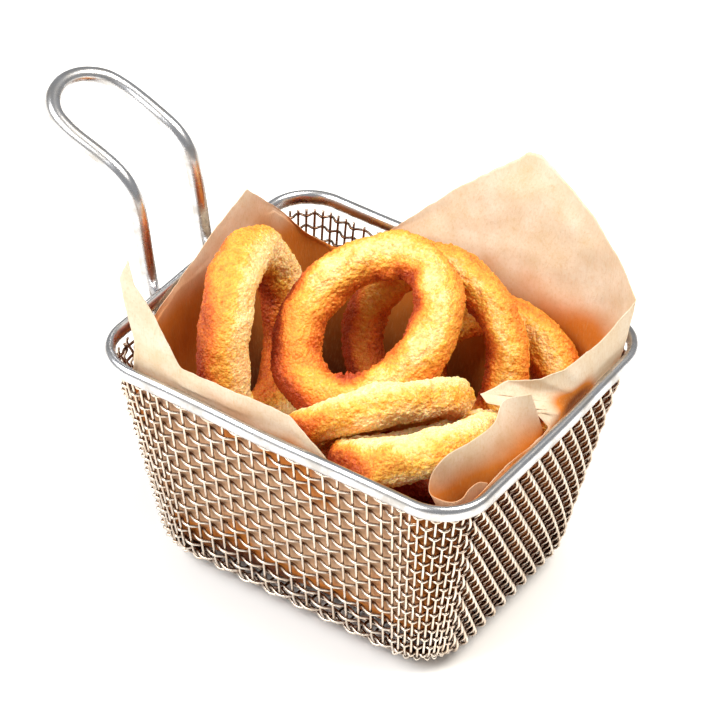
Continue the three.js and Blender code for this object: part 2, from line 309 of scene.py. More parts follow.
def tube(paths: Array, side: Array, radius: float, sides: int, closed: bool) -> tuple[Array, Array]:
    """Round wires along many paths with the same number of points.

    The section's first axis is the part of the side direction that is square to the path, and its
    second axis is the cross product of the path's direction with the first.

    Args:
        paths: Points with shape (wires, points, 3).
        side: A direction for each wire that its path never takes, with shape (wires or 1, 1, 3).
        radius: Radius of a wire.
        sides: Corners of a section, an even number.
        closed: Whether each path joins its own start. An open wire is closed by flat ends.

    Returns:
        Corners and faces.
    """
    if closed:
        ahead = np.roll(paths, -1, axis=1) - np.roll(paths, 1, axis=1)
    else:
        ahead = np.gradient(paths, axis=1)
    ahead /= np.linalg.norm(ahead, axis=-1, keepdims=True) + 1e-12
    first = side - ahead * (side * ahead).sum(-1, keepdims=True)
    first /= np.linalg.norm(first, axis=-1, keepdims=True) + 1e-12
    second = np.cross(ahead, first)
    angle = (np.arange(sides) / sides * TURN)[None, None, :, None]
    ring = first[:, :, None] * np.cos(angle) + second[:, :, None] * np.sin(angle)
    corners = paths[:, :, None] + ring * radius
    wires, length = paths.shape[:2]
    one = grid_faces(length, sides, closed, True)
    if not closed:
        k = np.arange(1, sides - 1, 2)
        ends = np.stack([np.zeros_like(k), k, k + 1, k + 2], axis=1)
        one = np.vstack([one, ends[:, ::-1], ends + (length - 1) * sides])
    faces = (one[None] + np.arange(wires)[:, None, None] * length * sides).reshape(-1, 4)
    return corners.reshape(-1, 3), faces


def joined(parts: list[tuple[Array, Array, Array]]) -> tuple[Array, Array, Array]:
    """Joins shapes into one, whose faces count on from the corners before them.

    Args:
        parts: Corners, faces and values of each shape.

    Returns:
        Corners, faces and values of them all.
    """
    points, faces, values = zip(*parts)
    starts = np.cumsum([0] + [len(group) for group in points[:-1]])
    faces = [group + start for group, start in zip(faces, starts)]
    return np.concatenate(points), np.concatenate(faces), np.concatenate(values)


# ---- the basket's outline ----


@dataclass(frozen=True)
class BasketOutline:
    """The basket's tapering, round-cornered shape, which its mesh, rim and paper share.

    Attributes:
        bottom_half: Half lengths of the bottom along X and Y.
        bottom_corner: Radius of the bottom's corners, seen from above.
        edge_radius: Radius of the turn from the wall to the bottom.
        rim_half: Half lengths of the rim along X and Y.
        rim_corner: Radius of the rim's corners.
        rim_height: Level of the rim.
        bow: How far the rim's sides bow out.
    """

    bottom_half: tuple[float, float] = (50.3, 38.4)
    bottom_corner: float = 16.7
    edge_radius: float = 10.0
    rim_half: tuple[float, float] = (60.0, 50.4)
    rim_corner: float = 14.0
    rim_height: float = 73.1
    bow: float = 0.6

    def flats(self, side: int, share: Numbers) -> tuple[Numbers, Numbers, Numbers]:
        """The straight part of a side.

        Args:
            side: 0 for +X, 1 for +Y, 2 for -X, 3 for -Y.
            share: Share of the rim's height.

        Returns:
            Distance from the axis to the side's corner centres, half its straight length, and the
            corner's radius.
        """
        corner = mix(self.bottom_corner, self.rim_corner, share)
        out = mix(self.bottom_half[side % 2], self.rim_half[side % 2], share) - corner
        along = mix(self.bottom_half[1 - side % 2], self.rim_half[1 - side % 2], share) - corner
        return out, along, corner

    def half_length(self, side: int, share: Numbers) -> Numbers:
        """Length from the middle of a side to the middle of its corner."""
        _, along, corner = self.flats(side, share)
        return along + corner * TURN / 8

    def place(self, side: int, walk: Array, share: Array, inset: Array) -> tuple[Array, Array]:
        """Points of a side and its two half corners.

        The walk goes anticlockwise from the side's middle, straight as far as the corner and then round
        its arc. The point is the arc's centre (or the spot beside the straight side) plus the outward
        unit normal times the corner radius less the inset plus the bow, and the bow is a share of the
        rim's bow times the squared cosine of twice the heading.

        Args:
            side: 0 for +X, 1 for +Y, 2 for -X, 3 for -Y.
            walk: Signed distances from the side's middle.
            share: Share of the rim's height.
            inset: Distance inside the outline.

        Returns:
            Points with x and y, and their outward unit normals.
        """
        out, along, corner = self.flats(side, share)
        straight = np.clip(walk, -along, along)
        angle = (walk - straight) / corner
        heading = np.arctan2(straight, out + 0 * straight)
        reach = corner - inset + share * self.bow * np.cos(2 * heading) ** 2
        normal = np.stack([np.cos(angle), np.sin(angle)], axis=-1)
        point = np.stack([out + 0 * straight, straight], axis=-1) + normal * reach[..., None]
        return quarter_turns(point, side), quarter_turns(normal, side)

    def wall_at(self, heading: Array, z: Array, inset: Array) -> Array:
        """Points of the wall where a ray from the basket's axis meets the rounded rectangle at a level.

        The ray reaches the nearer of the two straight sides, or in a corner the root of the quadratic
        that the ray and the corner's circle give.

        Args:
            heading: Headings in radians.
            z: Levels.
            inset: Distances inside the outline.

        Returns:
            Points with x, y and z.
        """
        share = z / self.rim_height
        corner = np.maximum(mix(self.bottom_corner, self.rim_corner, share) - inset, 2.0)
        half_x = mix(self.bottom_half[0], self.rim_half[0], share) - inset
        half_y = mix(self.bottom_half[1], self.rim_half[1], share) - inset
        c, s = np.abs(np.cos(heading)), np.abs(np.sin(heading))
        distance = np.minimum(half_x / np.maximum(c, 1e-9), half_y / np.maximum(s, 1e-9))
        flat_x, flat_y = half_x - corner, half_y - corner
        rounded = (c * distance > flat_x) & (s * distance > flat_y)
        along = c * flat_x + s * flat_y
        root = np.sqrt(np.maximum(along**2 - flat_x**2 - flat_y**2 + corner**2, 0.0))
        distance = np.where(rounded, along + root, distance)
        return np.stack([np.cos(heading) * distance, np.sin(heading) * distance, z + 0 * distance], axis=-1)


def quarter_turns(vectors: Array, number: int) -> Array:
    """Turns vectors anticlockwise by quarter turns, with a cosine and sine of 0, 1 or -1.

    Args:
        vectors: Vectors with x and y in the last axis.
        number: Number of quarter turns.

    Returns:
        The turned vectors.
    """
    c, s = round(math.cos(number * TURN / 4)), round(math.sin(number * TURN / 4))
    x, y = vectors[..., 0], vectors[..., 1]
    return np.stack([x * c - y * s, x * s + y * c], axis=-1)


OUTLINE = BasketOutline()


# ---- materials ----


def add_node(tree: NodeTree, kind: str, inputs: Inputs | None = None, **settings: object) -> Node:
    """Adds a node, gives it its settings, and fills or links its inputs.

    Args:
        tree: The node tree.
        kind: Type name of the node, less its "ShaderNode".
        inputs: A value or another node's output for each input, by name or number.
        settings: Properties to set. "stops" sets a colour ramp's places and hex colours.

    Returns:
        The new node.
    """
    node = tree.nodes.new(f"ShaderNode{kind}")
    for key, value in settings.items():
        if key == "stops":
            ramp = node.color_ramp.elements
            while len(ramp) < len(value):
                ramp.new(0.5)
            for element, (place, colour) in zip(ramp, value):
                element.position = place
                element.color = linear(colour)
        else:
            setattr(node, key, value)
    for key, value in (inputs or {}).items():
        if isinstance(value, bpy.types.NodeSocket):
            tree.links.new(value, node.inputs[key])
        else:
            node.inputs[key].default_value = value
    return node


def new_material(name: str) -> tuple[Material, Callable[..., Node]]:
    """Makes an empty node material.

    Args:
        name: Name of the material.

    Returns:
        The material, and add_node for its own tree.
    """
    material = bpy.data.materials.new(name)
    material.use_nodes = True
    material.node_tree.nodes.clear()
    return material, partial(add_node, material.node_tree)


@dataclass(frozen=True)
class DrawnSteelWire:
    """Steel wire, drawn and nickel plated: a bright metal with faint smudges and a soft satin shine.

    The thick wire of the rim and the handle is polished and cool. The woven wire is warmer.
    """

    name: str
    colour: str = "#dcdcde"
    smudge: str = "#b9b6b2"
    # Painted shade: the dark colour laid on the woven wire where it dips behind another and on its inner
    # side.
    shade_colour: str = "#6b4a34"
    rough: tuple[float, float] = (0.2, 0.34)
    smudge_mm: float = 6.0
    pit_mm: float = 0.5

    def build(self) -> Material:
        """Builds the material.

        Smudges vary colour and roughness, painted shade darkens the wire where it dips behind another
        and on its inner side by the painted shade value of its points, and small pits give a little bump.

        Returns:
            The material.
        """
        material, add = new_material(self.name)
        place = add("TexCoord").outputs["Object"]
        smudges = {"Vector": place, "Scale": 1000 / self.smudge_mm, "Detail": 4.0, "Roughness": 0.6}
        patches = add("TexNoise", smudges).outputs["Fac"]
        colour = add("ValToRGB", {"Fac": patches}, stops=[(0.35, self.smudge), (0.6, self.colour)])
        # Painted shade: the wire's shade value multiplies its colour by the shade colour.
        dip = add("Attribute", attribute_name="dip").outputs["Fac"]
        shading_mix = {0: dip, 6: colour.outputs["Color"], 7: linear(self.shade_colour)}
        wire_shade = add("Mix", shading_mix, data_type="RGBA", blend_type="MULTIPLY")
        smooth_rough, worn_rough = self.rough
        worn = {"From Min": 0.3, "From Max": 0.7, "To Min": worn_rough, "To Max": smooth_rough}
        rough = add("MapRange", {"Value": patches, **worn})
        pits = add("TexNoise", {"Vector": place, "Scale": 1000 / self.pit_mm, "Detail": 2.0})
        bump = add("Bump", {"Height": pits.outputs["Fac"], "Strength": 0.08, "Distance": 0.00005})
        metal = {"Base Color": wire_shade.outputs[2], "Metallic": 1.0, "Roughness": rough.outputs["Result"]}
        shader = add("BsdfPrincipled", {**metal, "Normal": bump.outputs["Normal"]})
        add("OutputMaterial", {"Surface": shader.outputs["BSDF"]})
        return material


@dataclass(frozen=True)
class KraftPaper:
    """Unbleached kraft paper, calendered thin: matt tan, finely fibrous, and it lets warm light through."""

    name: str = "kraft_paper_unbleached_calendered"
    pale: str = "#e8dcc6"
    tan: str = "#dac5a2"
    fibre: str = "#cba06a"
    # Painted shade: these colours darken the sheet deeper in the basket and at its foot, and colour its few
    # real stains.
    soaked: str = "#e8943c"
    deep_shade_and_stain: str = "#5e2a12"
    through: str = "#f2a04e"
    letting: float = 0.13
    fibre_mm: tuple[float, float] = (0.5, 3.0)
    fibre_turns: tuple[float, float] = (0.6, 2.1)
    cloud_mm: float = 9.0
    mottle_mm: float = 0.9

    def build(self) -> Material:
        """Builds the material.

        Clouds, mottles, painted shade with a few real stains, and two layers of crossing fibres colour it,
        and the fibres raise it. The shade and stains multiply the colour by the shade and stain value of the
        sheet's points.

        Returns:
            The material.
        """
        material, add = new_material(self.name)
        place = add("TexCoord").outputs["Object"]
        clouds = {"Vector": place, "Scale": 1000 / self.cloud_mm, "Detail": 5.0, "Roughness": 0.65}
        cloud = add("TexNoise", clouds).outputs["Fac"]
        base = add("ValToRGB", {"Fac": cloud}, stops=[(0.3, self.tan), (0.7, self.pale)])
        mottles = {"Vector": place, "Scale": 1000 / self.mottle_mm, "Detail": 3.0, "Roughness": 0.7}
        mottle = add("TexNoise", mottles).outputs["Fac"]
        spots = add("MapRange", {"Value": mottle, "From Min": 0.5, "From Max": 0.75, "To Max": 0.35})
        spotting = {0: spots.outputs["Result"], 6: base.outputs["Color"], 7: linear(self.fibre)}
        spotted = add("Mix", spotting, data_type="RGBA")
        # Painted shade with a few real stains: white, then orange, then dark brown as the value grows.
        soaked = add("Attribute", attribute_name="soaked").outputs["Fac"]
        stops = [(0.0, "#ffffff"), (0.5, self.soaked), (1.0, self.deep_shade_and_stain)]
        darkening = add("ValToRGB", {"Fac": soaked}, stops=stops)
        darkening_mix = {0: 1.0, 6: spotted.outputs[2], 7: darkening.outputs["Color"]}
        colour = add("Mix", darkening_mix, data_type="RGBA", blend_type="MULTIPLY").outputs[2]
        heights = []
        thin, long = (1000 / size for size in self.fibre_mm)
        for turn in self.fibre_turns:
            turns, scales = (turn, 0.7 * turn, turn), (thin, thin, long)
            lie = add("Mapping", {"Vector": place, "Rotation": turns, "Scale": scales}).outputs["Vector"]
            fibres = add("TexNoise", {"Vector": lie, "Scale": 1.0, "Detail": 3.0}).outputs["Fac"]
            mask = add("MapRange", {"Value": fibres, "From Min": 0.55, "From Max": 0.8, "To Max": 0.3})
            laid = {0: mask.outputs["Result"], 6: colour, 7: linear(self.fibre)}
            colour = add("Mix", laid, data_type="RGBA").outputs[2]
            heights.append(fibres)
        height = add("Math", {0: heights[0], 1: heights[1]}, operation="ADD").outputs["Value"]
        bump = add("Bump", {"Height": height, "Strength": 0.35, "Distance": 0.0002}).outputs["Normal"]
        matt = {"Base Color": colour, "Roughness": 0.82, "Specular IOR Level": 0.25, "Normal": bump}
        front = add("BsdfPrincipled", matt)
        behind = add("BsdfTranslucent", {"Color": linear(self.through), "Normal": bump})
        both = add("MixShader", {"Fac": self.letting, 1: front.outputs["BSDF"], 2: behind.outputs["BSDF"]})
        add("OutputMaterial", {"Surface": both.outputs["Shader"]})
        return material


@dataclass(frozen=True)
class FriedBatter:
    """Breaded batter, deep fried: pale gold on the flat of a ring, deep gold on its edges, faintly oily."""

    name: str = "breaded_batter_deep_fried"
    # Ramp from cream to deep: besides real browning, its darker end paints the shade on shaded sides, inner
    # edges and rings deep in the basket.
    cream: str = "#fbe0a2"
    gold: str = "#ecae3e"
    amber: str = "#e0741a"
    deep: str = "#a8400a"
    # Painted shade: the colour that the crevices between crumbs are multiplied by.
    sunk: str = "#f0a850"
    grain_mm: float = 0.7
    speck_mm: float = 0.5
    grain_tone: float = 0.1
    speck_tone: float = 0.14
    grain_dome: float = 3.2
    glow_reach: tuple[float, float, float] = (1.0, 0.45, 0.15)

    def build(self) -> Material:
        """Builds the material from the crust's toast and painted shade values, with fine grains on top.

        Returns:
            The material.
        """
        material, add = new_material(self.name)
        place = add("TexCoord").outputs["Object"]
        # Toast mixes real browning with painted shade; the crevice value is painted shade between crumbs.
        toast = add("Attribute", attribute_name="toast").outputs["Fac"]
        crevice = add("Attribute", attribute_name="crevice").outputs["Fac"]
        grain = add("TexVoronoi", {"Vector": place, "Scale": 1000 / self.grain_mm, "Randomness": 1.0})
        tones = add("SeparateColor", {"Color": grain.outputs["Color"]}).outputs["Red"]
        specks = {"Vector": place, "Scale": 1000 / self.speck_mm, "Detail": 2.0, "Roughness": 0.6}
        speck = add("TexNoise", specks).outputs["Fac"]
        grainy = {0: tones, 1: self.grain_tone, 2: toast}
        jitter = add("Math", grainy, operation="MULTIPLY_ADD").outputs["Value"]
        specked = {0: speck, 1: self.speck_tone, 2: jitter}
        level = add("Math", specked, operation="MULTIPLY_ADD").outputs["Value"]
        stops = [(0.3, self.cream), (0.52, self.gold), (0.76, self.amber), (1.0, self.deep)]
        browned_and_shaded = add("ValToRGB", {"Fac": level}, stops=stops).outputs["Color"]
        # Painted shade: crevices between crumbs take the sunk colour.
        sinking = {0: crevice, 6: browned_and_shaded, 7: linear(self.sunk)}
        colour = add("Mix", sinking, data_type="RGBA", blend_type="MULTIPLY").outputs[2]
        domes = {0: grain.outputs["Distance"], 1: -self.grain_dome, 2: speck}
        height = add("Math", domes, operation="MULTIPLY_ADD").outputs["Value"]
        bump = add("Bump", {"Height": height, "Strength": 0.4, "Distance": 0.0004}).outputs["Normal"]
        glow = {"Subsurface Weight": 0.45, "Subsurface Radius": self.glow_reach, "Subsurface Scale": 0.002}
        shader = add("BsdfPrincipled", {"Base Color": colour, "Roughness": 0.6, "Normal": bump, **glow})
        add("OutputMaterial", {"Surface": shader.outputs["BSDF"]})
        return material


@dataclass(frozen=True)
class PaleFloor:
    """Studio board, coated matt white: plain and without a shine."""

    name: str = "matt_white_board"
    colour: str = "#f7f6f4"

    def build(self) -> Material:
        """Builds the plain material.

        Returns:
            The material.
        """
        material, add = new_material(self.name)
        shader = add("BsdfPrincipled", {"Base Color": linear(self.colour), "Roughness": 0.9})
        add("OutputMaterial", {"Surface": shader.outputs["BSDF"]})
        return material


# ---- the basket ----


@dataclass
class WovenBasket:
    """The woven wire wall and bottom.

    Wires that run along X carry the whole crimp and those along Y lie straight, so on the long sides the
    hoops weave, on the short sides the uprights do, and the crimp changes over in the corners.

    Attributes:
        wire: Thickness of a wire.
        crimp: How far a woven wire stands out from its middle place.
        inset: Distance of the weave inside the outline.
        top: Level of the uprights' tops.
        first_hoop: Level of the topmost hoop.
        hoop_pitch: Distance between hoops.
        uprights: Uprights on half of a short side and half of a long side.
        spaced: How many of those stand at the side's own spacing.
        spacing: That spacing on the short sides and on the long sides.
        gather: How strongly the uprights close up in the corners on the way down.
        sunk: How much deeper a straight hoop lies.
        sunk_shade: How much painted shade it takes.
        bulge: Crimp of a woven upright, as a multiple of a hoop's.
        darkening: Least and greatest painted shade of a wire along its waves, most where it dips behind
            another.
        bright_line: Share of a wire's radius beyond which its outer side is spared the painted shade.
        floor_lift: How far the floor's filling wires lie above or below its middle.
        floor_shade: Painted shade on them.
        filler_gaps: Their distances from the last crossing wire.
        filler_reach: How far they go on under the bottom edge.
    """

    wire: float = 0.86
    crimp: float = 0.8
    inset: float = 1.3
    top: float = 70.2
    first_hoop: float = 68.6
    hoop_pitch: float = 3.8
    uprights: tuple[int, int] = (17, 15)
    spaced: tuple[int, int] = (6, 8)
    spacing: tuple[float, float] = (2.79, 4.7)
    gather: float = 2.5
    sunk: float = 0.55
    # These values paint shade on the wires: on straight hoops, where a wire dips behind another, on each
    # wire's inner side, and on the floor's filling wires.
    sunk_shade: float = 0.92
    bulge: float = 1.2
    darkening: tuple[float, float] = (0.1, 0.95)
    bright_line: float = 0.86
    floor_lift: float = 0.35
    floor_shade: float = 0.5
    filler_gaps: tuple[float, float] = (2.2, 5.2)
    filler_reach: float = 1.5
    steps: int = 4
    wall_points: int = 62
    turn_points: int = 14
    floor_points: int = 40
    table_size: int = 600
    sides: int = 6

    def rim_walk(self, side: int, count: Array) -> Array:
        """Signed walks at the rim.

        The first uprights stand at the side's own spacing, and the rest share what is left evenly.

        Args:
            side: 0 for +X, 1 for +Y, 2 for -X, 3 for -Y.
            count: Signed counts of uprights from the side's middle.

        Returns:
            One walk for each count.
        """
        k = side % 2
        known = (0, self.spaced[k], self.uprights[k])
        walks = (0, self.spaced[k] * self.spacing[k], OUTLINE.half_length(side, 1.0))
        return np.sign(count) * np.interp(np.abs(count), known, walks)

    def hoop_share(self, side: int, walk: Array, share: Array) -> Array:
        """Share of the crimp that the hoops carry: all on the long sides, none on the short sides' flats.

        Args:
            side: 0 for +X, 1 for +Y, 2 for -X, 3 for -Y.
            walk: Signed distances from the side's middle.
            share: Share of the rim's height.

        Returns:
            One share for each walk.
        """
        if side % 2 == 1:
            return np.ones_like(walk)
        _, along, _ = OUTLINE.flats(side, share)
        return smooth(along - 1.0, OUTLINE.half_length(side, share), np.abs(walk))

    def walk(self, side: int, count: Array, share: Numbers) -> Array:
        """Signed walks at a share of the height.

        What the side loses in length below the rim is taken near its corners: the loss times the
        gather-th power of the upright's share of the half side.

        Args:
            side: 0 for +X, 1 for +Y, 2 for -X, 3 for -Y.
            count: Signed counts of uprights from the side's middle.
            share: Share of the rim's height.

        Returns:
            One walk for each count and share.
        """
        at_rim = self.rim_walk(side, count)
        long, short = OUTLINE.half_length(side, 1.0), OUTLINE.half_length(side, share)
        return at_rim - np.sign(at_rim) * (long - short) * (np.abs(at_rim) / long) ** self.gather

    def bent(self, wall: Array, turns: Array) -> tuple[Array, Array, Array]:
        """Level, inset and turn of places down the wall and round the bottom edge.

        Round the edge the level is the edge radius less the turn's radius times sin b, and the inset
        grows by that radius times one less cos b.

        Args:
            wall: Levels on the wall.
            turns: Turns b round the edge, in radians.

        Returns:
            Level, inset and turn, first for the wall and then for the turns.
        """
        radius = OUTLINE.edge_radius - self.inset
        tilt = np.concatenate([np.zeros(len(wall)), turns])
        level = np.concatenate([wall, OUTLINE.edge_radius - radius * np.sin(turns)])
        return level, self.inset + radius * (1 - np.cos(tilt)), tilt

    def levels(self) -> tuple[Array, Array, Array]:
        """Places of the hoops, a pitch apart down the wall and along the arc of the bottom edge.

        Returns:
            Level, inset and turn of every hoop.
        """
        wall = np.arange(self.first_hoop, OUTLINE.edge_radius, -self.hoop_pitch)
        radius = OUTLINE.edge_radius - self.inset
        left = wall[-1] - OUTLINE.edge_radius
        turns = np.arange((self.hoop_pitch - left) / radius, TURN / 4 - 0.05, self.hoop_pitch / radius)
        return self.bent(wall, turns)

    def hoops(self) -> tuple[Array, Array, Array]:
        """The hoops.

        A hoop runs on its level at its inset plus, along the wall's normal, the crimp times the cosine
        of half a turn for each upright. Neighbouring hoops are half a wave apart. Where a hoop is straight
        it lies sunk a little deeper, with more painted shade.

        Returns:
            Corners, faces and painted shade values.
        """
        level, inset, turn = self.levels()
        rows = np.arange(len(level))[:, None]
        loops, dip_shades = [], []
        first = 0
        for side in range(4):
            number = self.uprights[side % 2]
            count = np.arange(-number * self.steps, number * self.steps)[None, :] / self.steps
            share = (level / OUTLINE.rim_height)[:, None]
            walk = self.walk(side, count, share)
            straight = 1 - self.hoop_share(side, walk, share)
            wave = self.crimp * np.cos((count + number - 0.5 + first + rows) * TURN / 2) * (1 - straight)
            spot, normal = OUTLINE.place(side, walk, share, inset[:, None] + self.sunk * straight)
            loops.append(self.waved(spot, normal, level[:, None], turn[:, None], wave))
            # Painted shade where the hoop dips behind an upright, and on its straight, sunk parts.
            dip_shades.append(np.maximum(self.dip(wave), self.sunk_shade * straight))
            first += 2 * number
        up = np.array([[[0.0, 0.0, 1.0]]])
        points, faces = tube(np.concatenate(loops, axis=1), up, self.wire / 2, self.sides, True)
        return points, faces, self.wire_shade(np.concatenate(dip_shades, axis=1))

    def waved(self, spot: Array, normal: Array, level: Array, tilt: Array, wave: Array) -> Array:
        """Moves places along the shell's normal, which leans down by the tilt round the bottom edge.

        Args:
            spot: Places with x and y.
            normal: Outward unit normals with x and y.
            level: Levels of the places.
            tilt: Turns round the bottom edge, in radians.
            wave: Distances to move.

        Returns:
            Points with x, y and z.
        """
        flat = spot + normal * (wave * np.cos(tilt))[..., None]
        return np.concatenate([flat, (level - wave * np.sin(tilt))[..., None]], axis=-1)

    def dip(self, wave: Array) -> Array:
        """Painted shade of a wire that stands a wave out from its middle place: most where it dips in behind
        another.
        """
        return mix(*self.darkening, smooth(0.2 * self.crimp, -self.crimp, wave))

    def wire_shade(self, dip: Array) -> Array:
        """Painted shade of every corner of wires.

        Painted shade darkens what the dip leaves bright by a share that grows round the section from its
        outermost corners inwards, so the wire's inner side is shaded and it keeps a bright outer line.

        Args:
            dip: Painted shade along the wires, with shape (wires, points).

        Returns:
            One value for each corner.
        """
        outward = np.sin(np.arange(self.sides) / self.sides * TURN)
        return (1 - (1 - dip[..., None]) * (1 - 0.7 * smooth(self.bright_line, 0.0, outward))).ravel()

    def stands(self) -> tuple[Array, Array, Array]:
        """The uprights, round the bottom edge and across the floor.

        An upright goes down the wall at its own walk, off its place by the share of the crimp that the
        hoops leave it times the cosine of half a turn for each hoop, and the other way from them. It turns
        by a quarter circle of the edge radius less the inset, and goes on straight across to the middle of
        the floor, where the one that faces it comes in. Those of the corners end just past the edge.

        Returns:
            Corners, faces and painted shade values.
        """
        wall = np.linspace(self.top, OUTLINE.edge_radius, self.wall_points)
        level, inset, tilt = self.bent(wall, np.linspace(0, TURN / 4, self.turn_points + 1)[1:])
        share = level / OUTLINE.rim_height
        down = self.first_hoop - np.maximum(level, OUTLINE.edge_radius)
        row = (down + tilt * (OUTLINE.edge_radius - self.inset)) / self.hoop_pitch
        fade = smooth(TURN / 4, TURN / 8, tilt)
        parts, first = [], 0
        for side in range(4):
            number = self.uprights[side % 2]
            count = np.arange(-number + 0.5, number)[:, None]
            walk = self.walk(side, count, share[None])
            spot, normal = OUTLINE.place(side, walk, share[None] + 0 * walk, inset[None] + 0 * walk)
            wave = -self.bulge * self.crimp * np.cos((count + number - 0.5 + first + row) * TURN / 2)
            wave = wave * (1 - self.hoop_share(side, walk, share[None])) * fade
            paths = self.waved(spot, normal, level, tilt, wave)
            first += 2 * number
            along = quarter_turns(normal.mean(axis=1, keepdims=True), 1)
            across = np.concatenate([along, np.zeros((*along.shape[:2], 1))], axis=-1)
            whole = np.abs(walk[:, -1]) < OUTLINE.flats(side, 0.0)[1]
            lines = self.floor_wires(side, paths[whole][:, -1])
            crossing = np.concatenate([paths[whole], lines], axis=1)
            level_waves = np.concatenate([wave[whole], np.zeros(lines.shape[:2])], axis=1)
            ends = (paths[~whole], wave[~whole], ~whole)
            for full, waves, chosen in ((crossing, level_waves, whole), ends):
                points, faces = tube(full, across[chosen], self.wire / 2, self.sides, False)
                # Painted shade where the upright dips behind a hoop, and on its inner side.
                parts.append((points, faces, self.wire_shade(self.dip(waves))))
        return joined([*parts, self.corner_floor_wires()])

    def floor_wires(self, side: int, start: Array) -> Array:
        """Paths from the foot of each upright to the middle of the floor.

        The wires from the long sides lie straight. Those from the short sides weave over and under them
        by the crimp times the cosine of half a turn for each of those wires, which a table of their
        walks on the floor counts.

        Args:
            side: The side that the uprights come from.
            start: The last point of each upright.

        Returns:
            Points with shape (wires, points, 3).
        """
        axis = side % 2
        reach = np.abs(start[:, axis].mean())
        distance = np.linspace(reach, 0.0, self.floor_points + 1)[1:]
        sign = 1.0 if side < 2 else -1.0
        paths = np.repeat(start[:, None, :], len(distance), axis=1)
        paths[:, :, axis] = sign * distance[None]
        if axis == 0:
            table = np.linspace(0, self.uprights[1], self.table_size)
            counts = np.interp(distance, self.walk(1, table, 0.0), table)
            number = np.arange(len(start))[:, None]
            wave = np.cos((counts[None] * sign + 0.5 + number + (1 if side == 2 else 0)) * TURN / 2)
            paths[:, :, 2] = self.inset + self.crimp * wave * smooth(reach, reach - 5.0, distance)[None]
        return paths

    def corner_floor_wires(self) -> tuple[Array, Array, Array]:
        """Short straight wires that fill the floor between its last crossing wires and the bottom edge.

        A wire ends past the corner's inner circle, at the root of its radius squared less the gap squared.

        Returns:
            Corners, faces and painted shade values.
        """
        out_x, along_x, corner = OUTLINE.flats(0, 0.0)
        inner = corner - OUTLINE.edge_radius
        paths, sideways = [], []
        for axis, (straight, length) in enumerate(((along_x, out_x), (out_x, along_x))):
            for gap in self.filler_gaps:
                half = length + math.sqrt(max(inner**2 - gap**2, 0.0)) + self.filler_reach
                for sign in (-1.0, 1.0):
                    line = np.zeros((12, 3))
                    line[:, axis] = np.linspace(-half, half, 12)
                    line[:, 1 - axis] = sign * (straight + gap)
                    line[:, 2] = self.inset + (self.floor_lift if axis else -self.floor_lift)
                    paths.append(line)
                    sideways.append([[float(axis), 1.0 - axis, 0.0]])
        points, faces = tube(np.array(paths), np.array(sideways), self.wire / 2, self.sides, False)
        # An even painted shade over the floor's filling wires.
        return points, faces, np.full(len(points), self.floor_shade)

    def build(self, material: Material) -> None:
        """Builds the hoops and the uprights and lets them stand for the wall.

        Args:
            material: The woven wire's material.
        """
        for name, (points, faces, dip_shades) in (("mesh_hoops", self.hoops()), ("mesh_uprights", self.stands())):
            # The painted shade values go on the mesh for the wire's material.
            piece = make_mesh(name, points, [faces], {"dip": dip_shades})
            finish_piece(piece, material, "basket_wall")


@dataclass
class Rim:
    """The thick wire round the basket's mouth, whose section is wide across the wall and tall along it."""

    wide: float = 3.4
    tall: float = 4.8
    around: int = 110
    sides: int = 28

    def build(self, material: Material) -> None:
        """Builds the rim.

        Its section is an ellipse: at the angle s, the outline's inset is -cos s times half the width
        and the level is the rim's height plus sin s times half the tall size.

        Args:
            material: The polished wire's material.
        """
        angle = (np.arange(self.sides) / self.sides * TURN)[:, None]
        loops = []
        for side in range(4):
            half = OUTLINE.half_length(side, 1.0)
            walk = np.linspace(-half, half, self.around, endpoint=False)[None] + 0 * angle
            spot, _ = OUTLINE.place(side, walk, np.ones_like(walk), -np.cos(angle) * self.wide / 2 + 0 * walk)
            height = OUTLINE.rim_height + np.sin(angle) * self.tall / 2 + 0 * walk
            loops.append(np.concatenate([spot, height[..., None]], axis=-1))
        grid = np.concatenate(loops, axis=1)
        faces = grid_faces(grid.shape[0], grid.shape[1], True, True)
        piece = make_mesh("rim_wire", grid.reshape(-1, 3), [faces])
        finish_piece(piece, material, "basket_rim")


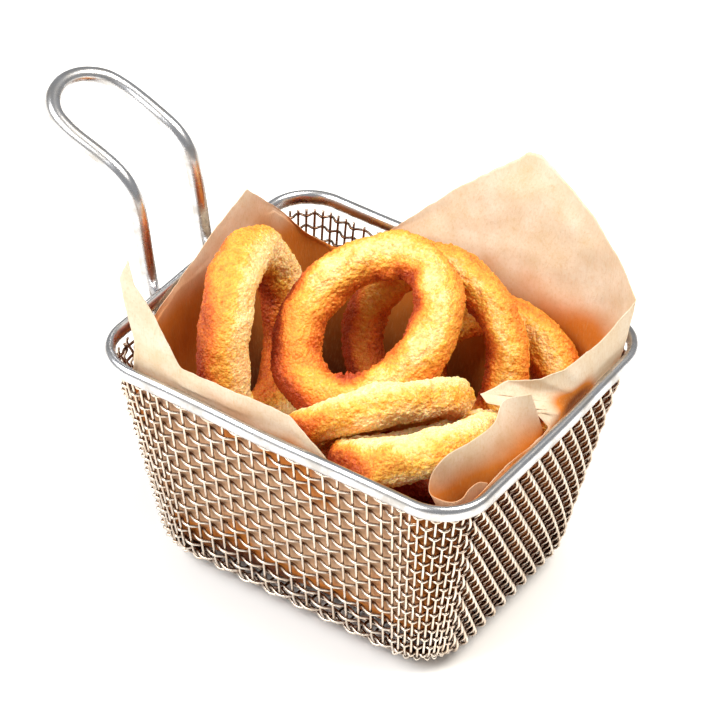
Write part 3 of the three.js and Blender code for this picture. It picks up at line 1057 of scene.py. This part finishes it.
@dataclass
class Handle:
    """One bent wire: two legs up from the back wall, an elbow, an arm and a round end.

    Attributes:
        wire: Thickness of the wire.
        middle_y: Place of its middle along Y.
        spacing: Distance between the legs' middles.
        foot: Lower end of a leg, as x and z.
        at_rim: The leg at the rim, as x and z.
        elbow: The elbow's corner, as x and z.
        elbow_radius: How far from that corner the bend begins.
        end: The far end, as x and z.
        end_radius: How far back from it the round end begins.
        section_tilt: Angle over the level of the direction that the wire never takes.
    """

    wire: float = 4.6
    middle_y: float = -2.2
    spacing: float = 26.2
    foot: tuple[float, float] = (-60.1, 52.0)
    at_rim: tuple[float, float] = (-64.9, 73.1)
    elbow: tuple[float, float] = (-71.1, 106.8)
    elbow_radius: float = 10.0
    end: tuple[float, float] = (-105.4, 119.5)
    end_radius: float = 12.4
    section_tilt: float = 40.0
    steps: int = 420
    sides: int = 28

    def leg(self, y: float) -> Array:
        """Control points of one leg and its half of the elbow.

        The elbow is a quadratic curve from a point before it to a point after it, both at the elbow's
        radius from its corner.

        Args:
            y: Place of the leg along Y.

        Returns:
            Points with x, y and z, one a row.
        """
        foot, rim, elbow, end = (np.array(p) for p in (self.foot, self.at_rim, self.elbow, self.end))
        before = elbow + (rim - elbow) / np.linalg.norm(rim - elbow) * self.elbow_radius
        after = elbow + (end - elbow) / np.linalg.norm(end - elbow) * self.elbow_radius
        q = np.linspace(0, 1, 5)[:, None]
        bend = (1 - q) ** 2 * before + 2 * q * (1 - q) * elbow + q**2 * after
        flat = np.vstack([foot, mix(foot, rim, 0.5), rim, mix(rim, elbow, 0.35), bend])
        return np.insert(flat, 1, y, axis=1)

    def route(self) -> Array:
        """Control points of the whole wire: a leg, the round end as a half circle, and the other leg.

        Returns:
            Points with x, y and z, one a row.
        """
        half = self.spacing / 2
        elbow, end = np.array(self.elbow), np.array(self.end)
        direction = (end - elbow) / np.linalg.norm(end - elbow)
        a = np.radians(np.arange(-90, 91, 30))
        back = self.end_radius * (1 - np.cos(a))
        place = end[None] - direction[None] * back[:, None]
        loop = np.stack([place[:, 0], self.middle_y - np.sin(a) * half, place[:, 1]], axis=1)
        return np.vstack([self.leg(self.middle_y + half), loop, self.leg(self.middle_y - half)[::-1]])

    def build(self, material: Material) -> None:
        """Builds the handle as a round wire along the curve through its control points.

        Args:
            material: The polished wire's material.
        """
        path = along_curve(self.route(), np.linspace(0, 1, self.steps))[None]
        tilt = math.radians(self.section_tilt)
        side = np.array([[[math.cos(tilt), 0.0, math.sin(tilt)]]])
        points, faces = tube(path, side, self.wire / 2, self.sides, False)
        finish_piece(make_mesh("handle_wire", points, [faces]), material, "basket_handle")


# ---- the paper ----


def sheet_normal(grid: Array, closed: bool) -> Array:
    """Unit normals of a sheet, from the cross product of the steps along and across its grid.

    Args:
        grid: Points with shape (rows, columns, 3).
        closed: Whether each row closes on itself.

    Returns:
        One normal for each point.
    """
    along = np.roll(grid, -1, axis=1) - np.roll(grid, 1, axis=1) if closed else np.gradient(grid, axis=1)
    normal = np.cross(along, np.gradient(grid, axis=0))
    return normal / (np.linalg.norm(normal, axis=-1, keepdims=True) + 1e-12)


def sheet_mesh(name: str, grid: Array, thick: float, closed: bool, soaked: Array, outside: Array) -> Object:
    """Makes a thin closed sheet from its middle surface.

    Each side is the middle surface moved half the thickness along its normal.

    Args:
        name: Name of the piece.
        grid: Points with shape (rows, columns, 3).
        thick: Thickness.
        closed: Whether each row closes on itself. Then the first row is closed by a point in its middle.
        soaked: How far painted shade and stains darken the side against the normal, 0 to 1,
            with shape (rows, columns).
        outside: The same for the side along the normal.

    Returns:
        The mesh object.
    """
    # Painted shade values of both sides, with the real stains on the liner's outside.
    darkening = np.concatenate([outside, soaked[::-1]]).ravel()
    normal = sheet_normal(grid, closed)
    rows, columns = grid.shape[:2]
    shell = np.concatenate([grid + normal * thick / 2, (grid - normal * thick / 2)[::-1]])
    if closed:
        points = np.vstack([shell.reshape(-1, 3), shell[0].mean(axis=0), shell[-1].mean(axis=0)])
        j = np.arange(columns)
        j2 = (j + 1) % columns
        size = 2 * rows * columns
        first = np.stack([np.full(columns, size), j2, j], axis=1)
        last = np.stack([np.full(columns, size + 1), size - columns + j, size - columns + j2], axis=1)
        faces = [grid_faces(2 * rows, columns, False, True), np.vstack([first, last])]
        darkening = np.append(darkening, [1.0, 1.0])
    else:
        points = shell.reshape(-1, 3)
        i = np.arange(rows - 1)[:, None]
        j = np.array([[0, columns - 1]])
        a, b = i * columns + j, (i + 1) * columns + j
        c, d = (2 * rows - 2 - i) * columns + j, (2 * rows - 1 - i) * columns + j
        edges = np.stack([a, b, c, d], axis=-1)
        edges[:, 1] = edges[:, 1, ::-1]
        faces = [grid_faces(2 * rows, columns, True, False), edges.reshape(-1, 4)]
    return make_mesh(name, points, faces, {"soaked": darkening})


@dataclass
class PaperLiner:
    """The sheet that lines the basket: floor, turn, wall, a soft crease at the rim and free flaps above.

    Attributes:
        inset: Distance of the sheet inside the outline.
        thick: Thickness, drawn thicker than real paper so that its edge shows.
        floor: Level of the sheet on the bottom.
        tight_turn: Least radius of its turn from the bottom to the wall.
        wide_turn: Greatest radius of that turn.
        wide_at: Heading of the widest turn, in degrees.
        crease: Level of the crease.
        crease_softness: Share of the wall's height over which the crease is rounded.
        torn: Strength of the tears along the free edge.
        tear_mm: Size of the tears.
        crumpled: Strength of the crumples.
        crumple_mm: Sizes of the slow waves and of the pinches between them.
        pinched: Strength of the pinches against the waves.
        edge: Points of the free edge, as heading in degrees, x, y and z.
    """

    inset: float = 2.68
    thick: float = 0.2
    floor: float = 2.75
    tight_turn: float = 11.0
    wide_turn: float = 21.0
    wide_at: float = 305.0
    crease: float = 74.0
    crease_softness: float = 0.02
    torn: float = 0.3
    tear_mm: float = 4.0
    crumpled: float = 1.1
    crumple_mm: tuple[float, float] = (24.0, 11.0)
    pinched: float = 0.35
    floor_rows: int = 8
    turn_rows: int = 8
    columns: int = 640
    edge: Array = field(
        default_factory=lambda: np.array(
            [
                [-28, 56.6, -30, 71.5], [-14, 56.9, -14, 72.5], [-3, 57, -3, 72], [0.2, 57, -0.2, 72.7],
                [4.2, 51.6, -0.2, 75.6], [5.4, 46, -5.4, 77], [6.6, 41.5, -7.6, 77.6],
                [8.5, 38.2, -5.6, 78.2], [11, 42.4, 0.8, 81], [14.5, 50, 5.2, 82.2], [19, 54, 11.5, 83.2],
                [23, 55.2, 18.5, 84.2], [27, 56.2, 27, 84.6], [31, 56.6, 35, 86], [35, 58, 42.3, 90],
                [41, 50.4, 47.4, 94.5], [49, 36.7, 54.6, 101.5], [58, 25.4, 58, 106.3],
                [69, 14.6, 60.2, 110.5], [74, 10.6, 60.3, 109.7], [96, -8.9, 54.6, 92],
                [116.5, -25.6, 48.1, 74], [121, -28, 46.9, 67], [133, -43.5, 46, 61],
                [140, -51.8, 42.5, 64.5], [145, -57.2, 39.6, 71], [151, -58.4, 32.6, 78.2],
                [158.5, -59.7, 23.5, 87.5], [174, -59.1, 6.1, 82.7], [186, -58.5, -5.7, 78.3],
                [203, -57.4, -24.3, 71.7], [213, -55.4, -35, 63], [221, -50.4, -43, 58],
                [226.2, -45.4, -46.6, 66], [226.8, -46.8, -47.8, 88], [227.6, -51.2, -48.2, 102.5],
                [228.6, -48.3, -48.2, 110.3], [230, -46.2, -48.2, 102.6], [232.5, -42, -48.2, 98.2],
                [238.5, -30, -48.6, 82.5], [261.5, -7.3, -48.7, 82.8], [275.5, 5, -48.8, 83],
                [289.5, 17, -48.1, 74], [296, 23, -47.2, 69.5], [309, 41, -47, 69], [318, 51, -44.2, 69.5],
                [325, 55.9, -37, 70.5], [332, 56.6, -30, 71.5],
            ]
        )
    )

    def columns_of(self) -> tuple[Array, Array]:
        """The sheet's columns, evenly by length along the free edge, whose tears are noise in height.

        Returns:
            Headings in radians, and points of the free edge.
        """
        heading, edge = self.edge[:, 0], self.edge[:, 1:]
        steps = np.linalg.norm(np.diff(edge, axis=0), axis=1) + 0.35 * np.diff(heading)
        length = np.concatenate([[0.0], np.cumsum(steps)])
        at = np.linspace(0, length[-1], self.columns, endpoint=False)
        points = np.stack([np.interp(at, length, edge[:, k]) for k in range(3)], axis=1)
        points[:, 2] += self.torn * layered_noise(points, self.tear_mm, 3, 17, 0.6)
        return np.radians(np.interp(at, length, heading)), points

    def grid(self) -> Array:
        """The sheet's middle surface.

        Down a column the sheet is flat on the floor, turns up by a quarter circle whose radius mixes
        from tight to wide by the cube of half of one plus the cosine of the heading from the wide
        place, and follows the wall to the crease. Past it the sheet goes straight to its free edge. The
        corner at the crease is rounded with a soft ramp, w ln(1 + exp(t / w)). Slow noise crumples it.

        Returns:
            Points with shape (rows, columns, 3).
        """
        heading, edge = self.columns_of()
        toward = (1 + np.cos(heading - math.radians(self.wide_at))) / 2
        radius = mix(self.tight_turn, self.wide_turn, toward**3)
        base = OUTLINE.wall_at(heading, self.floor + 0 * heading, self.inset + radius)
        floor = base[None] * np.linspace(0.02, 1, self.floor_rows + 1)[:-1, None, None]
        floor[..., 2] = self.floor
        a = np.radians(np.linspace(90, 0, self.turn_rows + 1))[:-1, None]
        level = self.floor + radius * (1 - np.sin(a))
        turn = OUTLINE.wall_at(heading[None] + 0 * a, level, self.inset + radius * (1 - np.cos(a)))
        crease = np.minimum(self.crease, edge[:, 2] - 2)
        wall, free = np.linspace(-1, -0.1, 20, endpoint=False), np.linspace(0.1, 1, 30)[1:]
        t = np.concatenate([wall, np.linspace(-0.1, 0.1, 11), free])
        w = self.crease_softness
        below = (w * np.logaddexp(0, -t / w))[:, None]
        above = (w * np.logaddexp(0, t / w))[:, None]
        level = mix(crease, self.floor + radius, below)
        rise = OUTLINE.wall_at(heading[None] + 0 * level, level, self.inset + 0 * level)
        bend = OUTLINE.wall_at(heading, crease, self.inset + 0 * crease)
        rise = rise + (edge - bend)[None] * above[..., None]
        grid = np.concatenate([floor, turn, rise])
        return self.crumple(grid, np.concatenate([np.zeros(len(floor) + len(turn)), above[:, 0]]))

    def crumple(self, grid: Array, free: Array) -> Array:
        """Moves the free flaps along their normal by slow noise, least at the crease and at the edge.

        Args:
            grid: Points with shape (rows, columns, 3).
            free: How far each row is from the crease to the free edge.

        Returns:
            The moved points.
        """
        strength = self.crumpled * smooth(0.0, 0.3, free) * mix(1.0, 0.5, smooth(0.7, 1.0, free))
        slow, short = self.crumple_mm
        waves = layered_noise(grid, slow, 3, 5) + self.pinched * np.abs(lattice_noise(grid, short, 6))
        return grid + sheet_normal(grid, True) * (waves * strength[:, None])[..., None]

    def build(self, material: Material) -> None:
        """Builds the liner.

        Painted shade darkens it by smooth steps of the level, deeper below the rim, which noise makes
        uneven. Its outside is darker beside the +X wall, takes painted shade at the foot, and has a few real
        stains.

        Args:
            material: The paper's material.
        """
        grid = self.grid()
        # Painted shade: the sheet darkens with depth below the rim and at its foot. Its outside is also
        # darker beside the +X wall, and the stain term adds real stains.
        level = grid[..., 2] + 5.0 * layered_noise(grid, 14.0, 2, 8)
        below_rim, touched = smooth(82.0, 66.0, level), smooth(78.0, 70.0, level)
        soaked = 0.5 * below_rim + 0.5 * smooth(60.0, 14.0, level)
        side = smooth(38.0, 52.0, grid[..., 0]) * touched
        foot = smooth(24.0, 12.0, grid[..., 2])
        stain = smooth(0.1, 0.6, layered_noise(grid, 16.0, 2, 31)) * touched
        outside = np.clip(0.24 * below_rim + 0.55 * side + 0.6 * foot + 0.25 * stain, 0, 1)
        piece = sheet_mesh("paper_sheet", grid, self.thick, True, soaked, outside)
        finish_piece(piece, material, "paper_liner")


@dataclass
class PaperCurl:
    """The fold of the sheet that curls over at the front right, like a scoop.

    Attributes:
        thick: Thickness.
        sag: How far its middle hollows, along X, Y and Z.
        edge: Points of its free edge.
        foot: Points of the line where it lies on the sheet.
    """

    thick: float = 0.2
    sag: tuple[float, float, float] = (-0.3, -0.8, -0.4)
    columns: int = 300
    rows: int = 70
    edge: Array = field(
        default_factory=lambda: np.array(
            [
                [52.8, -3.4, 84], [48.1, -9.6, 83.5], [49.8, -17.2, 81.6], [48.8, -27.2, 81.3],
                [45.9, -34.6, 79.8], [44.2, -38.6, 75.2], [45.4, -41, 71.4], [49.4, -42.2, 71.8],
                [52.4, -41, 71.6], [53.4, -37.6, 71], [53, -33.2, 71.2], [53.8, -29.6, 71.4],
                [55.6, -28.4, 71.2],
            ]
        )
    )
    foot: Array = field(
        default_factory=lambda: np.array(
            [
                [55.8, 0, 69.2], [55.8, -7.5, 69], [55.8, -15, 68.6], [55.2, -20, 67], [54, -25, 63],
                [52.2, -30, 59], [51.4, -34, 57.4], [51.8, -36.4, 57.6], [52.6, -36.6, 58.6],
                [53.2, -35.4, 59.6], [53.6, -32.6, 61], [54.2, -30.4, 63], [54.8, -29, 65],
            ]
        )
    )

    def build(self, material: Material) -> None:
        """Builds the curl.

        A column goes straight from the curve through the free edge to the curve through the foot, and
        hollows by a fixed sag times the sines of half a turn both down and along it.

        Args:
            material: The paper's material.
        """
        along = np.linspace(0, 1, self.columns)
        down = np.linspace(0, 1, self.rows)[:, None, None]
        edge, foot = along_curve(self.edge, along), along_curve(self.foot, along)
        hollow = np.sin(down * math.pi) * np.sin(along * math.pi)[None, :, None]
        grid = mix(edge[None], foot[None], down) + np.array(self.sag) * hollow
        # Painted shade: the curl darkens lower down, where it hollows, and half as much on the side against
        # its normal.
        soaked = 0.8 * smooth(84.0, 60.0, grid[..., 2] + 2.0 * layered_noise(grid, 9.0, 2, 4))
        piece = sheet_mesh("paper_curl_sheet", grid, self.thick, False, 0.5 * soaked, soaked)
        finish_piece(piece, material, "paper_curl")


# ---- the onion rings ----


class Crust(Enum):
    """How finely a ring's crust is cut: points round the ring and across its section."""

    SHOWN = (420, 150)
    COVERED = (210, 78)


def turned(axis: int, degrees: float) -> Array:
    """A turn about an axis, with the cosine and sine of its angle in the plane of the next two axes.

    Args:
        axis: 0 for X, 1 for Y, 2 for Z.
        degrees: Angle of the turn.

    Returns:
        The 3 by 3 matrix.
    """
    c, s = math.cos(math.radians(degrees)), math.sin(math.radians(degrees))
    i, j = (axis + 1) % 3, (axis + 2) % 3
    matrix = np.eye(3)
    matrix[i, i], matrix[i, j], matrix[j, i], matrix[j, j] = c, -s, s, c
    return matrix


@dataclass
class OnionRing:
    """One battered ring: an oval section carried round an oval centreline and covered with crumbs.

    Attributes:
        at: The ring's middle.
        lean: Degrees that it leans from lying flat.
        turn: Degrees that it is turned about Z after the lean.
        spin: Degrees that it is turned in its own plane before it.
        oval: Half lengths of the centreline.
        half: Half width and half height of the section.
        seed: Number that picks its waves and crumbs.
        toast: How brown it is all over, 0 to 1, and for rings deep in the basket their painted shade.
        warp: Height of the twist of its centreline, and its start in degrees.
        clump: Place of a clump of dark crumbs.
        clump_size: Spread of the clump.
        crumb: Strength of the crumbs.
        crumb_mm: Sizes of three layers of crumbs.
        crumb_share: Weights of those layers.
        patch_mm: Size of the patches where crumbs are higher.
        spot_mm: Size of the spots where they are browner.
        lump: Height of slow lumps.
        lump_mm: Size of the lumps.
        browned_and_shaded: Direction of the side that takes painted shade.
        edge_and_shade_browning: Toast and painted shade that the edges add, and painted shade that the
            shaded side and the ring's end on that side add.
    """

    name: str
    at: tuple[float, float, float]
    lean: float
    turn: float
    spin: float
    oval: tuple[float, float]
    half: tuple[float, float]
    seed: int
    toast: float
    warp: tuple[float, float] | None = None
    crust: Crust = Crust.SHOWN
    clump: tuple[float, float, float] | None = None
    clump_size: float = 2.6
    crumb: float = 0.5
    crumb_mm: tuple[float, float, float] = (2.6, 1.5, 0.85)
    crumb_share: tuple[float, float, float] = (0.3, 0.45, 0.35)
    patch_mm: float = 7.0
    spot_mm: float = 3.5
    lump: float = 0.22
    lump_mm: float = 5.0
    browned_and_shaded: tuple[float, float, float] = (-0.75, -0.5, -0.4)
    edge_and_shade_browning: tuple[float, float, float] = (0.38, 0.5, 0.3)

    def frame(self) -> Array:
        """The ring's own axes as matrix columns: a turn about Z, a lean about Y and a spin about Z."""
        return turned(2, self.turn) @ turned(1, self.lean) @ turned(2, self.spin)

    def surface(self) -> tuple[Array, Array]:
        """The smooth batter before its crumbs.

        The centreline is (rx cos a, ry sin a, lift sin(2a + start)). The section goes out by cos s
        and up by sin s of its half sizes, which swell by slow waves round the ring, and three short
        waves of a and s raise its crags.

        Returns:
            Points and outward unit normals in the ring's own axes, both with shape (around, across, 3).
        """
        around, across = self.crust.value
        lift, start = (self.warp[0], math.radians(self.warp[1])) if self.warp else (0.7, self.phase(5))
        a = (np.arange(around) / around * TURN)[:, None]
        s = (np.arange(across) / across * TURN)[None, :]
        swell = 1 + 0.05 * np.sin(2 * a + self.phase(1)) + 0.04 * np.sin(3 * a + self.phase(2))
        flatten = 1 + 0.05 * np.sin(2 * a + self.phase(3)) + 0.03 * np.sin(5 * a + self.phase(4))
        crags = ((0.22, 5, 2), (0.2, 8, -3), (0.16, 11, 2))
        crag = sum(h * np.sin(m * a + n * s + self.phase(6 + k)) for k, (h, m, n) in enumerate(crags))
        out = np.stack([np.cos(a) * self.oval[1], np.sin(a) * self.oval[0]], axis=-1)
        out /= np.linalg.norm(out, axis=-1, keepdims=True)
        sideways = np.cos(s) * (self.half[0] * swell + crag)
        upward = np.sin(s) * (self.half[1] * flatten + crag)
        line = np.stack([self.oval[0] * np.cos(a), self.oval[1] * np.sin(a)], axis=-1)
        flat = line + out * sideways[..., None]
        height = lift * np.sin(2 * a + start) + upward
        grid = np.concatenate([flat, height[..., None]], axis=-1)
        ahead, over = (np.roll(grid, -1, axis) - np.roll(grid, 1, axis) for axis in (0, 1))
        normal = np.cross(ahead, over)
        normal /= np.linalg.norm(normal, axis=-1, keepdims=True)
        middle = np.concatenate([flat - out * sideways[..., None], (height - upward)[..., None]], axis=-1)
        inward = ((grid - middle) * normal).sum(-1, keepdims=True) < 0
        return grid, np.where(inward, -normal, normal)

    def phase(self, number: int) -> float:
        """The ring's own phase for one of its waves, hashed from its seed to 0 up to a full turn."""
        x = math.sin(self.seed * 12.9898 + number * 78.233) * 43758.5453
        return (x - math.floor(x)) * TURN

    def edges(self) -> Array:
        """How near each place across the section is to the ring's outer or inner edge.

        It is the size of the cosine of the section's angle, cubed, and three quarters of that outside.

        Returns:
            Values from 0 to 1 with shape (1, across).
        """
        cosine = np.cos(np.arange(self.crust.value[1]) / self.crust.value[1] * TURN)[None, :]
        return np.abs(cosine) ** 3 * np.where(cosine < 0, 1.0, 0.75)

    def toasted_and_shaded(self, grid: Array, normal: Array) -> Array:
        """How far the oil browned the crust, with the painted shade laid on it, before its crumbs are told
        apart.

        It grows on the ring's edges as toast and, most on the inner edge, as painted shade. Painted shade
        adds to it on the side that faces the shaded direction, by the normal's share of that direction, and
        at the end of the ring on that side, where a pale ring gains less.

        Args:
            grid: Points of the crust in the ring's own axes.
            normal: Their outward unit normals.

        Returns:
            One value for each point.
        """
        # Painted shade: the side facing the shaded direction and the ring's end on that side are darkened.
        browned_and_shaded = np.array(self.browned_and_shaded)
        below = smooth(-0.1, 0.9, normal @ self.frame().T @ (browned_and_shaded / np.linalg.norm(browned_and_shaded)))
        shaded_end = grid @ self.frame().T @ browned_and_shaded
        shaded_end = smooth(0.25, 0.95, shaded_end / shaded_end.max())
        at_edge, at_side, at_end = self.edge_and_shade_browning
        return self.toast + at_edge * self.edges() + at_side * below + min(at_end, 1.1 * self.toast) * shaded_end

    def build(self, material: Material) -> None:
        """Builds the ring with its crumbs and its toast and painted shade values.

        The crust rises by three sizes of grains, whose weights slow noise varies, less their mean, and by
        slow noise of its own. Toast varies a little from grain to grain. A clump of dark crumbs swells the
        crust by a bell curve of the distance from its place.

        Args:
            material: The batter's material.
        """
        grid, normal = self.surface()
        shifted = grid + np.array([self.seed * 37.0, 0.0, 0.0])
        layers = [grains(shifted, size, self.seed + step) for size, step in zip(self.crumb_mm, (0, 5, 9))]
        (coarse, tone), (medium, medium_tone), (fine, fine_tone) = layers
        rough = 0.8 + 0.3 * layered_noise(shifted, self.patch_mm, 2, self.seed + 21) + 0.4 * self.edges()
        large, mid, small = self.crumb_share
        crumbs = large * coarse * tone + mid * medium * medium_tone + small * fine * (0.4 + fine_tone)
        crumbs *= rough
        crumbs -= crumbs.mean()
        lumps = self.lump * lattice_noise(shifted, self.lump_mm, self.seed + 60)
        grid = grid + normal * (self.crumb * 2.0 * crumbs + lumps)[..., None]
        spots = layered_noise(shifted, self.spot_mm, 3, self.seed + 40, 0.6)
        toast = self.toasted_and_shaded(grid, normal) + 0.05 * spots + 0.07 * (medium_tone - 0.5)
        if self.clump:
            away = ((grid @ self.frame().T + np.array(self.at) - np.array(self.clump)) ** 2).sum(-1)
            near = np.exp(-away / (2 * self.clump_size**2))
            grid = grid + normal * (near * (0.5 + 1.6 * coarse + 1.1 * medium))[..., None]
            toast = toast + 0.75 * near
        points = (grid.reshape(-1, 3) @ self.frame().T) + np.array(self.at)
        faces = grid_faces(*self.crust.value, True, True)
        # Painted shade in the crevices where the crust sinks between crumbs.
        values = {"toast": np.clip(toast, 0, 1), "crevice": 0.35 * smooth(0.0, -0.2, crumbs)}
        piece = make_mesh(f"crust_{self.name}", points, [faces], values)
        finish_piece(piece, material, f"onion_ring_{self.name}")


CRUMBS_AT = (-0.8, -11.6, 69.4)
twisted = partial(OnionRing, warp=(0.85, -90.0))
# Painted shade: rings deep under the others take a deep toast, for the shade that they lie in.
covered = partial(OnionRing, toast=0.6, crust=Crust.COVERED)
RINGS = [
    OnionRing("left", (-34.7, -7.2, 63.8), 76, 15, 143, (25, 22.5), (6.7, 7.1), 3, 0.22),
    OnionRing("middle", (-3.7, 2.7, 76.4), 38, -91, 164, (23.1, 18.4), (6.7, 6.6), 11, 0.28, clump=CRUMBS_AT),
    OnionRing("back", (7.4, 21.4, 62.1), 63, -92, 143, (22.7, 25.2), (6.1, 6.0), 5, 0.29),
    OnionRing("right", (20.2, 32.5, 48.9), 72, -84, 165, (20.3, 21.7), (6.7, 6.4), 8, 0.28),
    twisted("front_upper", (9.4, -12.3, 61.7), 44.4, 145, -116.4, (22.3, 18.6), (5.8, 5.6), 21, 0.12),
    OnionRing("front_lower", (28.8, -20.1, 63.3), 40, 145, -105, (18.9, 19.4), (6.3, 6.5), 14, 0.13),
    covered("under_left", (-24.1, -12.4, 24.7), 31, 215, 0, (20.5, 19.5), (6.4, 6.2), 31),
    covered("under_right", (26, -14.4, 33.3), 13, 57, 20, (20, 18.5), (6.2, 6.0), 26),
    covered("bottom_right", (21.5, -7.3, 17.4), 13, 0, 0, (19, 18), (5.8, 5.6), 17),
    covered("bottom_left", (-16.8, 9.4, 9.7), 1, 100, 0, (18.6, 18), (5.9, 5.7), 44),
]


# ---- the studio ----


@dataclass
class Softbox:
    """A soft rectangular light.

    Attributes:
        at: Its place, in metres.
        size: Its width and height, in metres.
        watts: Its power.
        colour: Its colour.
        look: The point that it faces, in metres.
    """

    name: str
    at: tuple[float, float, float]
    size: tuple[float, float]
    watts: float
    colour: str = "#ffffff"
    look: tuple[float, float, float] = (0.0, 0.0, 0.05)

    def build(self) -> None:
        """Adds the light to the scene."""
        light = bpy.data.lights.new(self.name, "AREA")
        light.shape = "RECTANGLE"
        light.size, light.size_y = self.size
        light.energy = self.watts
        light.color = linear(self.colour)[:3]
        place_object(self.name, light).matrix_world = facing(np.array(self.at), np.array(self.look))


def facing(place: Array, look: Array) -> Matrix:
    """A pose whose -Z axis looks from one place to another.

    Args:
        place: Where it stands.
        look: What it looks at.

    Returns:
        The pose, with its own X axis level.
    """
    back = place - look
    back = back / np.linalg.norm(back)
    right = np.cross([0.0, 0.0, 1.0], back)
    right = right / max(np.linalg.norm(right), 1e-9)
    return pose(place, right, np.cross(back, right), back)


def pose(place: Array, right: Array, up: Array, back: Array) -> Matrix:
    """A pose from its place in metres and its three axes.

    Args:
        place: Where it stands.
        right: Its X axis.
        up: Its Y axis.
        back: Its Z axis.

    Returns:
        The pose.
    """
    matrix = np.eye(4)
    matrix[:3, 0], matrix[:3, 1], matrix[:3, 2], matrix[:3, 3] = right, up, back, place
    return Matrix(matrix.tolist())


@dataclass
class Studio:
    """The camera, the soft lights, the surroundings and the floor.

    Attributes:
        camera_at: The camera's place, in metres.
        camera_right: Its X axis.
        camera_up: Its Y axis.
        lens: Its focal length for a frame 36 mm wide.
        surroundings: Colour of the light from all around.
        brightness: Strength of that light.
        floor_half: Half the floor's length.
        floor_drop: How far the floor lies under the basket.
        lights: The soft lights.
    """

    camera_at: tuple[float, float, float] = (0.390431, -0.632200, 0.654207)
    camera_right: tuple[float, float, float] = (0.82919475, 0.55746383, 0.04086748)
    camera_up: tuple[float, float, float] = (-0.37185906, 0.49557507, 0.78493706)
    lens: float = 172.83
    surroundings: str = "#f2f4f7"
    brightness: float = 0.38
    floor_half: float = 3000.0
    floor_drop: float = 0.3
    lights: tuple[Softbox, ...] = (
        Softbox("key_softbox", (0.95, 0.5, 2.6), (1.5, 1.5), 92.0, "#fff9f0"),
        Softbox("left_softbox", (-1.3, -1.5, 2.0), (2.4, 1.6), 100.0),
    )

    def build(self) -> None:
        """Builds the whole studio."""
        scene = bpy.context.scene
        camera = bpy.data.cameras.new("camera")
        camera.lens = self.lens
        camera.sensor_width = 36.0
        camera.clip_start, camera.clip_end = 0.01, 20.0
        scene.camera = place_object("camera", camera)
        right, up = np.array(self.camera_right), np.array(self.camera_up)
        scene.camera.matrix_world = pose(np.array(self.camera_at), right, up, np.cross(right, up))
        for light in self.lights:
            light.build()
        world = bpy.data.worlds.new("pale_surroundings")
        world.use_nodes = True
        background = world.node_tree.nodes["Background"].inputs
        background["Color"].default_value = linear(self.surroundings)
        background["Strength"].default_value = self.brightness
        scene.world = world
        scene.view_settings.view_transform = "Standard"
        self.floor()

    def floor(self) -> None:
        """Builds the floor, a plane just under the basket."""
        square = np.array([[-1, -1, 0], [1, -1, 0], [1, 1, 0], [-1, 1, 0]])
        corners = square * self.floor_half - np.array([0, 0, self.floor_drop])
        floor = make_mesh("floor", corners, [np.array([[0, 1, 2, 3]])])
        floor.data.materials.append(PaleFloor().build())


def main() -> None:
    """Builds the side: the basket with its rim and handle, the paper, the rings and the studio."""
    logging.basicConfig(level=logging.INFO, format="%(name)s %(message)s")
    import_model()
    woven = DrawnSteelWire("steel_wire_woven_nickel_plated", "#fcf1e2", "#e8d6c0")
    polished = DrawnSteelWire("steel_wire_drawn_polished")
    kraft = KraftPaper().build()
    batter = FriedBatter().build()
    WovenBasket().build(woven.build())
    steel = polished.build()
    Rim().build(steel)
    Handle().build(steel)
    PaperLiner().build(kraft)
    PaperCurl().build(kraft)
    for ring in RINGS:
        ring.build(batter)
    Studio().build()


if __name__ == "__main__":
    main()
